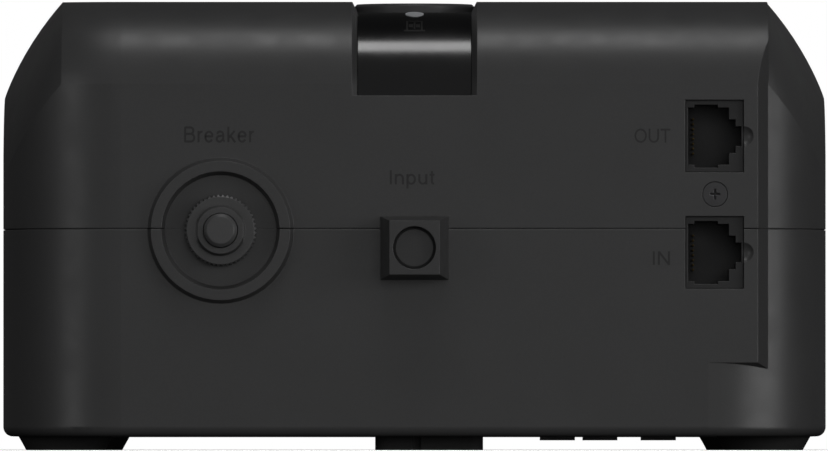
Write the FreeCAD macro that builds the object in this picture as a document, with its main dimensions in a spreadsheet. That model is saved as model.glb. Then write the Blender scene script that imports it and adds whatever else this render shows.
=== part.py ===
# Desktop uninterruptible power supply with eight outlets on its top, as an assembly of separate pieces.
# Millimetres, +Z up. The origin is the centre of the footprint, on the surface that the feet stand on.
# The end with the breaker, the cord inlet and the two data jacks faces -Y. +X is to the right of that end.

import FreeCAD, Part
import Sketcher
import math
import os
import re

os.makedirs("parts", exist_ok=True)

Vector = FreeCAD.Vector
doc = FreeCAD.newDocument("desktop_ups")

# ---------------------------------------------------------------- driving dimensions

SIZES = {
    # housing
    "body_w": 172.0, "body_l": 284.0, "top_z": 93.6, "foot_z": 2.86, "seam_z": 46.06, "wall": 2.5,
    "corner": 25.0, "end_round": 20.0, "round_ease": 0.15, "flat_half": 73.5, "shoulder_z": 73.9,
    "shoulder_arc": 69.0, "bottom_round": 2.0, "seam_gap": 0.24, "seam_deep": 0.4,
    "lip_rise": 1.8, "lip_thick": 1.2, "lip_gap": 0.15,
    # flat pad that carries the jacks across the corner
    "pad_x": 71.4, "pad_foot_x": 73.7, "pad_low_z": 18.2, "pad_deep": 3.6, "pad_under": 1.4,
    # centre channel, its glossy strip, the lens and the button
    "strip_half": 11.9, "channel_half": 13.1, "strip_in": 2.3, "strip_thick": 1.6, "channel_floor": 2.0,
    "strip_gap": 0.1, "lens_r": 1.9, "lens_tilt": 13.5, "lens_low": 10.0, "lens_proud": 0.12,
    "button_y": -98.0, "bezel_r": 12.6, "bezel_high": 2.05, "bezel_gap": 0.15, "bezel_hole_r": 9.2, "button_r": 8.9,
    "button_flange_r": 10.4, "button_flange": 1.2, "button_stem_r": 1.6, "button_stem": 4.8, "button_low": 0.35,
    "board_top_z": 79.6, "board_thick": 1.6, "panel_board_half": 10.0, "panel_board_l": 48.0,
    "panel_screw_x": 6.5, "panel_screw_in": 4.0, "boss_r": 2.5, "panel_screw_r": 1.0,
    "key_switch": 8.0, "key_switch_high": 3.4, "led_r": 1.5, "led_high": 2.4,
    # circuit breaker
    "breaker_x": -40.3, "breaker_z": 45.65, "ring_base_r": 15.2, "ring_r": 14.5, "ring_out": 2.2,
    "recess_r": 12.3, "recess_floor_r": 11.6, "recess_in": 1.0, "recess_back": 1.0,
    "bushing_r": 5.25, "bushing_flats": 9.4, "bushing_hole": 0.2, "bushing_out": 4.5,
    "bushing_edge": 0.45, "nut_r": 7.45, "nut_root_r": 6.95, "nut_thick": 3.0, "nut_teeth": 48.0, "nut_edge": 0.5,
    "reset_r": 3.5, "reset_gap": 0.15, "reset_out": 6.5, "reset_flange_r": 4.6, "reset_travel": 3.5,
    "breaker_w": 15.8, "breaker_h": 28.0, "breaker_l": 33.5,
    "tab_w": 6.3, "tab_thick": 0.8, "tab_l": 9.0, "breaker_tab_z": 7.0,
    # cord inlet gland
    "gland_out": 10.0, "gland_z": 42.0, "gland_base_w": 14.2, "gland_base_h": 13.2,
    "gland_front_w": 10.4, "gland_front_h": 11.2, "cord_r": 4.45, "cord_deep": 2.4,
    "gland_neck_r": 5.6, "gland_hole": 0.15, "gland_flange": 16.0, "gland_flange_thick": 2.5,
    # data jacks, x across and z up
    "jack_x_low": 56.3, "jack_x_high": 68.5, "jack_out_z": 65.3, "jack_in_z": 41.1, "jack_h": 15.1,
    "jack_gap": 0.1, "jack_in": 1.2, "jack_l": 18.0, "jack_back_grow": 0.5, "jack_deep": 13.0,
    "cavity_x_low": 56.9, "cavity_x_high": 65.4, "cavity_h": 11.9, "key_x_low": 58.2, "key_x_high": 63.1,
    "key_deep": 0.6, "latch_x_one": 66.8, "latch_h_one": 7.0, "latch_x_two": 68.0, "latch_h_two": 4.1,
    "scoop_r": 2.4, "scoop_in": 1.3, "contact_r": 0.22, "contact_pitch": 1.02,
    "jack_screw_x": 62.5, "jack_screw_z": 53.2, "screw_head_r": 2.55, "screw_head": 1.5, "screw_r": 1.45,
    "screw_l": 11.0, "screw_gap": 0.12, "cross_l": 2.2, "cross_w": 0.5, "cross_deep": 1.0,
    "surge_board_z_low": 29.0, "surge_board_z_high": 77.0, "surge_board_l": 36.0, "bracket_l": 10.0,
    # outlets on the top
    "outlet_x": 43.3, "outlet_pitch": 55.0, "outlet_w": 35.0, "outlet_l": 30.0, "outlet_corner": 5.0,
    "outlet_deep": 16.0, "outlet_below": 0.5, "outlet_gap": 0.15, "outlet_flange": 2.0, "outlet_flange_thick": 2.0,
    "slot_apart": 12.7, "slot_hot": 6.6, "slot_neutral": 8.2, "slot_w": 2.3, "slot_x": -3.4,
    "ground_x": 8.5, "ground_r": 2.6, "clip_thick": 0.3, "clip_l": 5.8, "clip_high": 14.0, "bar_w": 4.0,
    "bar_thick": 1.0, "ground_clip_r": 2.5,
    # feet
    "foot_x": 72.9, "foot_in_y": 22.0, "foot_top_r": 9.85, "foot_low_r": 8.25, "foot_seat": 1.0,
    "centre_foot_low": -8.2, "centre_foot_high": 14.3, "centre_foot_l": 16.0, "centre_foot_y": 12.0,
    "centre_foot_round": 2.6, "centre_foot_groove_x": 0.4, "centre_foot_groove": 1.8,
    # battery door underneath
    "door_x_low": -14.0, "door_x_high": 81.0, "door_y_low": -64.0, "door_y_high": 95.0, "door_gap": 0.3,
    "door_thick": 2.2, "door_travel": 18.0, "door_slack": 0.5, "landing_top": 7.6, "landing_roof": 5.4,
    "hook_l": 10.0, "hook_reach": 2.2, "hook_low": 5.7, "hook_high": 7.1, "hook_w": 3.0, "hook_pitch": 52.0,
    "hook_y": 22.0, "rib_z": 2.08, "rib_y_low": -58.0, "rib_y_high": -34.0,
    "rib_one_low": 26.7, "rib_one_high": 34.0, "rib_two_low": 35.8, "rib_two_high": 43.0,
    "rib_three_low": 48.2, "rib_three_high": 55.4,
    # housing screws
    "post_x": 72.0, "post_in_y": 49.0, "post_back_in_y": 44.0, "post_r": 4.2, "screw_hole_r": 1.75, "pilot_r": 1.52,
    "head_hole_r": 3.6, "head_hole": 5.0, "housing_screw_r": 1.5, "housing_head_r": 3.0, "housing_head": 2.2,
    "housing_screw_l": 60.0,
    # side vents in the lower shell
    "vent_w": 2.4, "vent_h": 20.0, "vent_pitch": 6.0, "vent_z": 15.0, "vent_y": 46.0,
    # battery
    "cell_x_low": -13.0, "cell_x_high": 81.0, "cell_y_low": -60.0, "cell_y_high": 91.0, "cell_z_low": 7.4,
    "cell_z_high": 72.4, "cell_lid": 12.0, "cell_lid_inset": 0.8, "cell_round": 2.0, "terminal_z": 56.0,
    "terminal_in_y": 12.0, "terminal_l": 6.0, "terminal_w": 6.35, "terminal_thick": 0.8,
    # transformer
    "core_x": -50.0, "core_y": 70.0, "core_z_low": 8.0, "core_l": 66.0, "core_h": 55.0, "core_stack": 32.0,
    "limb": 22.0, "window_h": 33.0, "coil_gap": 0.4, "coil_out": 10.0, "bobbin_wall": 1.0,
    "strap_thick": 1.2, "strap_foot": 12.0,
    # main board
    "main_x_low": -80.0, "main_x_high": -20.0, "main_y_low": -128.0, "main_y_high": 26.0, "main_z": 11.4,
    "relay_w": 15.5, "relay_l": 19.0, "relay_h": 15.0, "can_r": 6.5, "can_h": 22.0,
    "sink_thick": 3.0, "sink_l": 60.0, "sink_h": 30.0, "fin": 1.2, "fin_out": 7.0,
    "transistor_w": 10.2, "transistor_h": 15.2, "transistor_thick": 4.4,
    "fuse_l": 20.0, "fuse_r": 2.6, "varistor_r": 7.0, "varistor_thick": 4.0, "choke_r": 11.0,
    "choke_hole_r": 5.0, "choke_thick": 9.0, "chip_l": 19.0, "chip_w": 6.4, "chip_h": 3.4,
    "buzzer_r": 6.0, "buzzer_h": 7.5, "wire_r": 1.3, "wire_bend": 8.0,
}

sheet = doc.addObject("Spreadsheet::Sheet", "dims")
for row, (alias, value) in enumerate(SIZES.items(), start=1):
    sheet.set("A%d" % row, alias)
    sheet.set("B%d" % row, str(value))
    sheet.setAlias("B%d" % row, alias)
doc.recompute()

PANEL_Y = ("(button_y + 18 - panel_board_l)", "(button_y + 18)")
WORD = re.compile(r"[a-z_]+")

# places worked out from the sheet, as formulas
FRONT = "((gland_out - body_l) / 2)"
BACK = "((gland_out + body_l) / 2)"
MIDDLE = "(gland_out / 2)"
ARCH_Z = "(top_z - end_round + round_ease)"
ARCH_FRONT = "(%s + end_round - round_ease)" % FRONT
ARCH_BACK = "(%s - end_round + round_ease)" % BACK
STRIP_OUT = "(end_round - strip_in)"
STRIP_TOP = "(%s + %s)" % (ARCH_Z, STRIP_OUT)
CHANNEL_UNDER = "(%s - strip_thick - channel_floor)" % STRIP_TOP
FLOOR = "(foot_z + wall)"
END_INNER = "(%s + wall)" % FRONT
RECESS_FLOOR = "(%s + recess_in)" % FRONT
BREAKER_BACK = "(%s + recess_back)" % END_INNER
OUTLET_TOP = "(top_z - outlet_below)"
OUTLET_LOW = "(%s - outlet_deep)" % OUTLET_TOP
CLIP_LOW = "(%s - 2)" % OUTLET_LOW
BOARD_TOP = "(main_z + board_thick)"


def in_sheet(formula):
    """A formula in the sheet's names, written as FreeCAD wants it."""
    return WORD.sub(lambda w: "dims." + w.group() if w.group() in SIZES else w.group(), str(formula))


probe = doc.addObject("Part::Box", "measuring_box")


def size(formula):
    """The value, in millimetres, of a formula in the sheet's names."""
    probe.setExpression("Length", in_sheet("1000 + " + str(formula)))
    probe.recompute()
    return probe.Length.Value - 1000


# ---------------------------------------------------------------- solids bound to the sheet

TURNS = {
    "x": FreeCAD.Rotation(Vector(0, 1, 0), 90),
    "y": FreeCAD.Rotation(Vector(1, 0, 0), -90),
    "z": FreeCAD.Rotation(),
}


def place(item, x, y, z):
    for letter, formula in zip("xyz", (x, y, z)):
        item.setExpression("Placement.Base." + letter, in_sheet(formula))
    return item


def box(name, x, y, z):
    """A box between the two formulas given for each axis."""
    item = doc.addObject("Part::Box", name)
    for side, (low, high) in zip(("Length", "Width", "Height"), (x, y, z)):
        item.setExpression(side, in_sheet("(%s) - (%s)" % (high, low)))
    return place(item, x[0], y[0], z[0])


def rod(name, radius, axis, x, y, z):
    """A cylinder along one axis: that axis has two formulas, the others one each."""
    item = doc.addObject("Part::Cylinder", name)
    item.Placement.Rotation = TURNS[axis]
    span = {"x": x, "y": y, "z": z}[axis]
    item.setExpression("Radius", in_sheet(radius))
    item.setExpression("Height", in_sheet("(%s) - (%s)" % (span[1], span[0])))
    start = {"x": x, "y": y, "z": z}
    start[axis] = span[0]
    return place(item, start["x"], start["y"], start["z"])


def cone(name, low_radius, high_radius, axis, x, y, z):
    """A truncated cone along one axis, from the low end of its span to the high end."""
    item = doc.addObject("Part::Cone", name)
    item.Placement.Rotation = TURNS[axis]
    span = {"x": x, "y": y, "z": z}[axis]
    item.setExpression("Radius1", in_sheet(low_radius))
    item.setExpression("Radius2", in_sheet(high_radius))
    item.setExpression("Height", in_sheet("(%s) - (%s)" % (span[1], span[0])))
    start = {"x": x, "y": y, "z": z}
    start[axis] = span[0]
    return place(item, start["x"], start["y"], start["z"])


def fused(name, items):
    item = doc.addObject("Part::MultiFuse", name)
    item.Shapes = items
    return item


def common(name, items):
    item = doc.addObject("Part::MultiCommon", name)
    item.Shapes = items
    return item


def cut(name, base, tools):
    item = doc.addObject("Part::Cut", name)
    item.Base = base
    item.Tool = tools[0] if len(tools) == 1 else fused(name + "_tools", tools)
    return item


def group(name, items):
    """Separate solids that share one file."""
    item = doc.addObject("Part::Compound", name)
    item.Links = items
    return item


def feature(name, shape):
    item = doc.addObject("Part::Feature", name)
    item.Shape = shape
    return item


# ---------------------------------------------------------------- bodies with sketches

def new_body(name):
    return doc.addObject("PartDesign::Body", name)


def sketch(body, name, plane, height="0"):
    """An empty sketch on one of the body's own planes, moved along the plane's normal."""
    item = body.newObject("Sketcher::SketchObject", name)
    origin = next(f for f in body.Origin.OriginFeatures if f.Role == plane)
    item.AttachmentSupport = [(origin, "")]
    item.MapMode = "FlatFace"
    item.setExpression("AttachmentOffset.Base.z", in_sheet(height))
    return item


def hold(item, index, kind, formula):
    """Binds a sketch's last constraint to a formula."""
    name = "%s_%d" % (kind, index)
    item.renameConstraint(index, name)
    item.setExpression("Constraints." + name, in_sheet(formula))


def outline(item, points):
    """A closed outline of straight lines through points, each a pair of formulas."""
    first = item.GeometryCount
    spots = [Vector(size(x), size(y), 0) for x, y in points]
    for spot, after in zip(spots, spots[1:] + spots[:1]):
        item.addGeometry(Part.LineSegment(spot, after), False)
    for step in range(len(points)):
        after = (step + 1) % len(points)
        item.addConstraint(Sketcher.Constraint("Coincident", first + step, 2, first + after, 1))
    for step, (x, y) in enumerate(points):
        for kind, formula, value in (("DistanceX", x, spots[step].x), ("DistanceY", y, spots[step].y)):
            index = item.addConstraint(Sketcher.Constraint(kind, -1, 1, first + step, 1, value))
            hold(item, index, kind, formula)


def oblong(item, x, y):
    """A rectangle between two formulas each way."""
    outline(item, [(x[0], y[0]), (x[1], y[0]), (x[1], y[1]), (x[0], y[1])])


def ring(item, radius, x="0", y="0"):
    """A circle of that radius about a point."""
    index = item.addGeometry(Part.Circle(Vector(size(x), size(y), 0), Vector(0, 0, 1), size(radius)), False)
    for kind, formula in (("DistanceX", x), ("DistanceY", y)):
        place_at = item.addConstraint(Sketcher.Constraint(kind, -1, 1, index, 3, size(formula)))
        hold(item, place_at, kind, formula)
    hold(item, item.addConstraint(Sketcher.Constraint("Radius", index, size(radius))), "Radius", radius)


def pad(body, name, profile, length, backwards=False):
    item = body.newObject("PartDesign::Pad", name)
    item.Profile = profile
    item.setExpression("Length", in_sheet(length))
    item.Reversed = backwards
    doc.recompute()
    return item


def pocket(body, name, profile, length, backwards=False):
    before = body.Shape.Volume
    item = body.newObject("PartDesign::Pocket", name)
    item.Profile = profile
    item.setExpression("Length", in_sheet(length))
    item.Reversed = backwards
    doc.recompute()
    if body.Shape.Volume > before - 0.01:
        raise RuntimeError("pocket %s of %s cuts nothing" % (name, body.Name))
    return item


def rounded(body, name, radius, wanted):
    """Rounds the body's edges that wanted(edge) picks."""
    doc.recompute()
    last = body.Tip
    names = ["Edge%d" % (n + 1) for n, edge in enumerate(last.Shape.Edges) if wanted(edge)]
    item = body.newObject("PartDesign::Fillet", name)
    item.Base = (last, names)
    item.setExpression("Radius", in_sheet(radius))
    doc.recompute()
    return item


def upright(edge):
    first, last = edge.Vertexes[0].Point, edge.Vertexes[-1].Point
    return abs(first.x - last.x) + abs(first.y - last.y) < 1e-4 and abs(first.z - last.z) > 1e-3


PARTS = []


def sub_part(item, label):
    """Names a finished piece: its label is its file's name."""
    item.Label = label
    PARTS.append(item)
    return item


# ---------------------------------------------------------------- housing

def shoulder_centre():
    """Centre of the arc that joins the side wall to the flat top, in the XZ plane."""
    low = Vector(size("body_w / 2"), 0, size("shoulder_z"))
    high = Vector(size("flat_half"), 0, size("top_z"))
    chord = high - low
    inward = Vector(-chord.z, 0, chord.x).normalize()
    reach = math.sqrt(size("shoulder_arc") ** 2 - (chord.Length / 2) ** 2)
    return (low + high) * 0.5 + inward * reach


def mirrored(point):
    return Vector(-point.x, point.y, point.z)


def rounded_block(x, y, z, radius):
    """A block with its upright edges rounded, between numbers."""
    block = Part.makeBox(x[1] - x[0], y[1] - y[0], z[1] - z[0], Vector(x[0], y[0], z[0]))
    return block.makeFillet(radius, [edge for edge in block.Edges if upright(edge)])


def end_cutter(inset, end, facing, centre, arc_radius, ease):
    """The space outside the quarter round that runs over one end, follows the corners and dips with the shoulders."""
    half, top, corner = size("body_w / 2") - inset, size("top_z") - inset, size("corner") - inset
    bend_x = half - corner
    bend_y = end + facing * corner
    flat = centre.x + math.sqrt(arc_radius ** 2 - (top - centre.z) ** 2)
    meet = math.asin((flat - bend_x) / corner)

    def level(angle):
        return Vector(bend_x + corner * math.sin(angle), bend_y - facing * corner * math.cos(angle), top)

    def dipping(spot):
        return Vector(spot.x, spot.y, centre.z + math.sqrt(arc_radius ** 2 - (spot.x - centre.x) ** 2))

    # the path leaves the corner along a tangent just before the side wall, and so crosses the wall's plane
    leave, steps = math.radians(84), 12
    dip = [dipping(level(meet + (leave - meet) * step / steps)) for step in range(steps + 1)]
    onward = Vector(math.cos(leave), facing * math.sin(leave), 0)
    dip += [dipping(level(leave) + onward * reach) for reach in (2.5, 5)]
    left_dip, right_dip = Part.BSplineCurve(), Part.BSplineCurve()
    left_dip.interpolate([mirrored(spot) for spot in reversed(dip)])
    right_dip.interpolate(dip)
    bend = [level(0), level(meet / 2), level(meet)]
    path = Part.Wire([
        left_dip.toShape(),
        Part.Arc(mirrored(bend[2]), mirrored(bend[1]), mirrored(bend[0])).toShape(),
        Part.LineSegment(mirrored(bend[0]), bend[0]).toShape(),
        Part.Arc(*bend).toShape(),
        right_dip.toShape(),
    ])
    start, round_radius = mirrored(dip[-1]), size("end_round") - inset

    def across(out, up):
        return start + Vector(0, facing * out, up)

    slant = round_radius * math.sqrt(0.5)
    section = Part.Wire([edge.toShape() for edge in (
        Part.LineSegment(across(-1, ease - round_radius), across(-1, 1)),
        Part.LineSegment(across(-1, 1), across(round_radius - ease, 1)),
        Part.LineSegment(across(round_radius - ease, 1), across(round_radius - ease, ease)),
        Part.Arc(across(round_radius - ease, ease), across(round_radius - ease - slant, ease - round_radius + slant),
                 across(-ease, ease - round_radius)),
        Part.LineSegment(across(-ease, ease - round_radius), across(-1, ease - round_radius)),
    )])
    sweep = Part.BRepOffsetAPI.MakePipeShell(path)
    sweep.setTrihedronMode(Vector(0, 0, 0), Vector(0, 0, 1))
    sweep.setTransitionMode(1)
    sweep.add(section, False, False)
    sweep.build()
    sweep.makeSolid()
    return sweep.shape()


def with_rounded_ends(form, inset, centre, arc_radius):
    """Takes the space outside both end rounds off a form."""
    cutter = end_cutter(inset, size(FRONT) + inset, 1, centre, arc_radius, size("round_ease"))
    middle = Vector(0, size(MIDDLE), 0)
    carved = form.cut(cutter).cut(cutter.mirror(middle, Vector(0, 1, 0)))
    if form.Volume - carved.Volume < cutter.Volume:
        raise RuntimeError("the end rounds of the housing did not cut")
    return carved


def shoulder_prism(inset, centre, arc_radius):
    """The housing's width and height, with its arched shoulders, over its whole length."""
    half, low, top = size("body_w / 2") - inset, size("foot_z") + inset, size("top_z") - inset
    front, back = size(FRONT) + inset, size(BACK) - inset
    flat = centre.x + math.sqrt(arc_radius ** 2 - (top - centre.z) ** 2)
    side_z = centre.z + math.sqrt(arc_radius ** 2 - (half - centre.x) ** 2)
    angles = math.atan2(side_z - centre.z, half - centre.x), math.atan2(top - centre.z, flat - centre.x)
    angle = sum(angles) / 2
    arc = (Vector(half, front, side_z),
           Vector(centre.x + arc_radius * math.cos(angle), front, centre.z + arc_radius * math.sin(angle)),
           Vector(flat, front, top))
    profile = Part.Wire([edge.toShape() for edge in (
        Part.LineSegment(Vector(-half, front, low), Vector(half, front, low)),
        Part.LineSegment(Vector(half, front, low), arc[0]),
        Part.Arc(*arc),
        Part.LineSegment(arc[2], mirrored(arc[2])),
        Part.Arc(mirrored(arc[2]), mirrored(arc[1]), mirrored(arc[0])),
        Part.LineSegment(mirrored(arc[0]), Vector(-half, front, low)),
    )])
    return Part.Face(profile).extrude(Vector(0, back - front, 0))


def housing_form(inset):
    """The housing's outer shape, moved inwards by inset: arched shoulders, rounded corners and rounded ends."""
    centre = shoulder_centre()
    arc_radius = size("shoulder_arc") - inset
    half = size("body_w / 2") - inset
    plan = rounded_block((-half, half), (size(FRONT) + inset, size(BACK) - inset),
                         (size("foot_z"), size("top_z")), size("corner") - inset)
    form = shoulder_prism(inset, centre, arc_radius).common(plan)
    return with_rounded_ends(form, inset, centre, arc_radius)


def arch(low, high, half_low, half_high):
    """A band that runs over the top and both end rounds, between two radii; its half width may grow outwards."""
    centre_z = size(ARCH_Z)
    front, back = size(ARCH_FRONT), size(ARCH_BACK)
    corners = ((-half_low, low), (half_low, low), (half_high, high), (-half_high, high))
    section = Part.Face(Part.makePolygon([Vector(x, front, centre_z + up) for x, up in corners + corners[:1]]))
    top = section.extrude(Vector(0, back - front, 0))
    near = section.revolve(Vector(0, front, centre_z), Vector(1, 0, 0), 90)
    section.translate(Vector(0, back - front, 0))
    far = section.revolve(Vector(0, back, centre_z), Vector(1, 0, 0), -90)
    return top.fuse([near, far]).removeSplitter()


def jack_pad_solid():
    """The flat pad that carries the end face on across the right corner, as far back as the flat top."""
    front, foot_x, slope = size(FRONT), size("pad_foot_x"), size("pad_under")
    foot_y, back, low = front + size("pad_deep"), size(ARCH_FRONT), size("pad_low_z")
    plan = [Vector(50, front, 0), Vector(size("pad_x"), front, 0), Vector(foot_x, foot_y, 0),
            Vector(foot_x, back, 0), Vector(50, back, 0)]
    upright_pad = Part.Face(Part.makePolygon(plan + plan[:1])).extrude(Vector(0, 0, size("top_z")))
    side = [Vector(49, front, low), Vector(49, foot_y, low - slope), Vector(49, back, low - slope),
            Vector(49, back, size(ARCH_Z)), Vector(49, front, size(ARCH_Z))]
    reach = Part.Face(Part.makePolygon(side + side[:1])).extrude(Vector(30, 0, 0))
    radius = size("end_round")
    above = Part.makeBox(30, radius, radius, Vector(49, back - radius, size(ARCH_Z)))
    above = above.common(Part.makeCylinder(radius, 30, Vector(49, back, size(ARCH_Z)), Vector(1, 0, 0)))
    shoulders = shoulder_prism(0, shoulder_centre(), size("shoulder_arc"))
    return upright_pad.common(reach.fuse(above).removeSplitter()).common(shoulders)


def housing_blank():
    """Both shells as one piece, before the seam divides it and before its openings are cut."""
    outer = housing_form(0)
    low = size("foot_z")
    rim = [edge for edge in outer.Edges
           if all(abs(corner.Point.z - low) < 1e-4 for corner in edge.Vertexes)]
    outer = outer.makeFillet(size("bottom_round"), rim)
    front = size(FRONT)
    jack_pad = jack_pad_solid()
    inner = housing_form(size("wall"))
    channel = arch(size(STRIP_OUT) - size("strip_thick") - size("channel_floor"), size("end_round") + 2,
                   size("channel_half") + size("wall"), size("channel_half") + size("wall"))
    inner = inner.cut(channel)
    collar_y = size(BREAKER_BACK)
    collar = Part.makeCylinder(size("ring_r"), collar_y - front,
                               Vector(size("breaker_x"), front, size("breaker_z")), Vector(0, 1, 0))
    hollow = inner.cut(collar)
    raised = Part.makeCone(size("ring_r"), size("ring_base_r"), size("ring_out"),
                           Vector(size("breaker_x"), front - size("ring_out"), size("breaker_z")), Vector(0, 1, 0))
    return outer.fuse([jack_pad, raised]).cut(hollow).removeSplitter()


def posts(z, radius):
    """The four screw posts, or the holes in them."""
    rows = ((FRONT + " + post_in_y", "front"), (BACK + " - post_back_in_y", "back"))
    return [rod("post_%s_%s" % (side, row), radius, "z", sign + "post_x", y, z)
            for y, row in rows for sign, side in (("", "right"), ("-", "left"))]


def housing():
    blank = feature("housing_blank", housing_blank())
    form = feature("housing_solid", housing_form(0.6))
    wide, long = size("body_w / 2"), (size(FRONT) - 6, size(BACK) + 6)
    seam, gap = size("seam_z"), size("seam_gap")

    def frame(inner_inset, outer_inset, low, high):
        """An upright ring that follows the walls between two insets."""
        sides = []
        for inset in (outer_inset, inner_inset):
            corner = size("corner") - inset
            sides.append(rounded_block((inset - wide, wide - inset), (size(FRONT) + inset, size(BACK) - inset),
                                       (low, high), corner))
        return sides[0].cut(sides[1])

    groove_block = Part.makeBox(2 * wide + 20, long[1] - long[0], gap, Vector(-wide - 10, long[0], seam - gap / 2))
    deep = size("seam_deep")
    kept = rounded_block((deep - wide, wide - deep), (size(FRONT) + deep, size(BACK) - deep),
                         (seam - 2, seam + 2), size("corner") - deep)
    groove = feature("seam_groove", groove_block.cut(kept))
    wall, thick, slack = size("wall"), size("lip_thick"), size("lip_gap")
    lip = feature("lip", frame(wall, wall - thick, seam - 0.5, seam + size("lip_rise")))
    rebate = feature("rebate", frame(wall + 1, wall - thick - slack, seam - 1, seam + size("lip_rise") + slack))

    above = box("above_seam", ("-body_w", "body_w"), (FRONT + " - 20", BACK + " + 20"), ("seam_z", "top_z + 10"))
    below = box("below_seam", ("-body_w", "body_w"), (FRONT + " - 20", BACK + " + 20"), ("foot_z - 3", "seam_z"))

    end_tools = end_openings() + [groove]
    upper_blank = common("upper_blank", [blank, above])
    upper_posts = common("upper_posts", [fused("upper_post_rods", posts(("seam_z", "top_z"), "post_r")), form])
    upper_rebated = cut("upper_rebated", upper_blank, [rebate])
    bosses = panel_rods("boss", "boss_r", ("board_top_z", ARCH_Z + " + %s - strip_thick - 1" % STRIP_OUT))
    bosses = common("bosses_in_arch", [fused("boss_rods", bosses), feature("under_channel", arch(
        2, size(STRIP_OUT) - size("strip_thick") - 0.5, 12, 12))])
    upper = fused("upper_solid", [upper_rebated, upper_posts, bosses])
    channel = feature("channel", arch(size(STRIP_OUT) - size("strip_thick"), size("end_round") + 2,
                                      size("strip_half"), size("strip_half")))
    rise = size("end_round") + 1 - size(STRIP_OUT)
    spread = (size("channel_half") - size("strip_half")) / (size("strip_in") + size("round_ease"))
    flare = feature("channel_flare", arch(size(STRIP_OUT), size("end_round") + 1, size("strip_half"),
                                          size("strip_half") + rise * spread))
    button_hole = rod("button_hole", "bezel_hole_r", "z", "0", "button_y", (CHANNEL_UNDER + " - 3", "top_z + 1"))
    bezel_seat = rod("bezel_seat", "bezel_r + bezel_gap", "z", "0", "button_y", (STRIP_TOP, "top_z + 1"))
    lens_hole = feature("lens_hole", lens_rod(0.1, size("lens_low") - 2, size("end_round")))
    pilots = fused("pilot_holes", posts(("seam_z - 1", "seam_z + 24"), "pilot_r"))
    boss_pilots = panel_rods("boss_pilot", "panel_screw_r + 0.02", ("board_top_z - 1", "board_top_z + 5"))
    boss_pilots = fused("boss_pilots", boss_pilots)
    upper = cut("upper_shell_cut", upper, [channel, flare, button_hole, bezel_seat, lens_hole, pilots, boss_pilots]
                + [outlet_opening(number, side) for side in (-1, 1) for number in range(4)])
    sub_part(cut("upper_shell", upper, end_tools), "upper_shell")

    lower_blank = common("lower_blank", [blank, below])
    landing = box("landing", ("door_x_low - 3", "door_x_high + 2.6"),
                  ("door_y_low - door_travel - 3", "door_y_low + 2"), (FLOOR + " - 1", "landing_top"))
    seats = [box("strap_seat_%d" % n, ("core_x - core_stack / 2", "core_x + core_stack / 2"), (y, y + " + 11"),
                 (FLOOR + " - 1", "core_z_low - strap_thick"))
             for n, y in enumerate(("core_y - core_l / 2 - 11.5", "core_y + core_l / 2 + 0.5"))]
    standoffs = [rod("standoff_%d_%d" % (column, row), "3.2", "z", x, y, (FLOOR + " - 1", "main_z"))
                 for column, x in enumerate(("main_x_low + 5", "main_x_high - 5"))
                 for row, y in enumerate(("main_y_low + 14", "main_y_high - 5"))]
    bay_wall = box("bay_wall", ("door_x_low - 4", "door_x_low - 2.4"), ("cell_y_low + 25", "cell_y_high - 25"),
                   (FLOOR + " - 1", "30"))
    lower_posts = fused("lower_post_rods", posts(("foot_z + 1", "seam_z"), "post_r"))
    lower = fused("lower_solid", [lower_blank, lip, landing, bay_wall, lower_posts] + seats + standoffs)
    shank_holes = posts(("foot_z - 1", "seam_z + 3"), "screw_hole_r")
    head_holes = posts(("foot_z - 1", "foot_z + head_hole"), "head_hole_r")
    lower = cut("lower_shell_cut", lower, shank_holes + head_holes + bottom_openings() + vents())
    sub_part(cut("lower_shell", lower, end_tools), "lower_shell")


def end_openings():
    """Everything cut through the end wall that carries the connections."""
    x, z = "breaker_x", "breaker_z"
    tools = [cone("breaker_recess", "recess_r", "recess_floor_r", "y", x, (FRONT + " - ring_out", RECESS_FLOOR), z),
             rod("breaker_hole", "bushing_r + bushing_hole", "y", x, (FRONT + " - 5", BREAKER_BACK + " + 1"), z),
             rod("gland_hole", "gland_neck_r + gland_hole", "y", "0", (FRONT + " - 5", END_INNER + " + 2"), "gland_z")]
    for name, middle in (("out", "jack_out_z"), ("in", "jack_in_z")):
        tools.append(box("jack_%s_opening" % name, ("jack_x_low", "jack_x_high"), (FRONT + " - 3", END_INNER + " + 6"),
                         (middle + " - jack_h / 2", middle + " + jack_h / 2")))
        scoop = doc.addObject("Part::Sphere", "jack_%s_scoop" % name)
        scoop.setExpression("Radius", in_sheet("scoop_r"))
        tools.append(place(scoop, "jack_x_high", FRONT + " - scoop_in", middle))
    tools.append(box("jack_room", ("jack_x_low - jack_back_grow - 0.2", "jack_x_high + jack_back_grow + 0.2"),
                     (END_INNER, END_INNER + " + 6"),
                     ("jack_in_z - jack_h / 2 - 0.7", "jack_out_z + jack_h / 2 + 0.7")))
    x, z = "jack_screw_x", "jack_screw_z"
    tools.append(rod("jack_screw_seat", "screw_head_r + screw_gap", "y", x, (FRONT + " - 1", FRONT + " + screw_head"), z))
    tools.append(rod("jack_screw_hole", "screw_r + screw_gap", "y", x, (FRONT + " - 1", END_INNER + " + 6"), z))
    return tools


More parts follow.
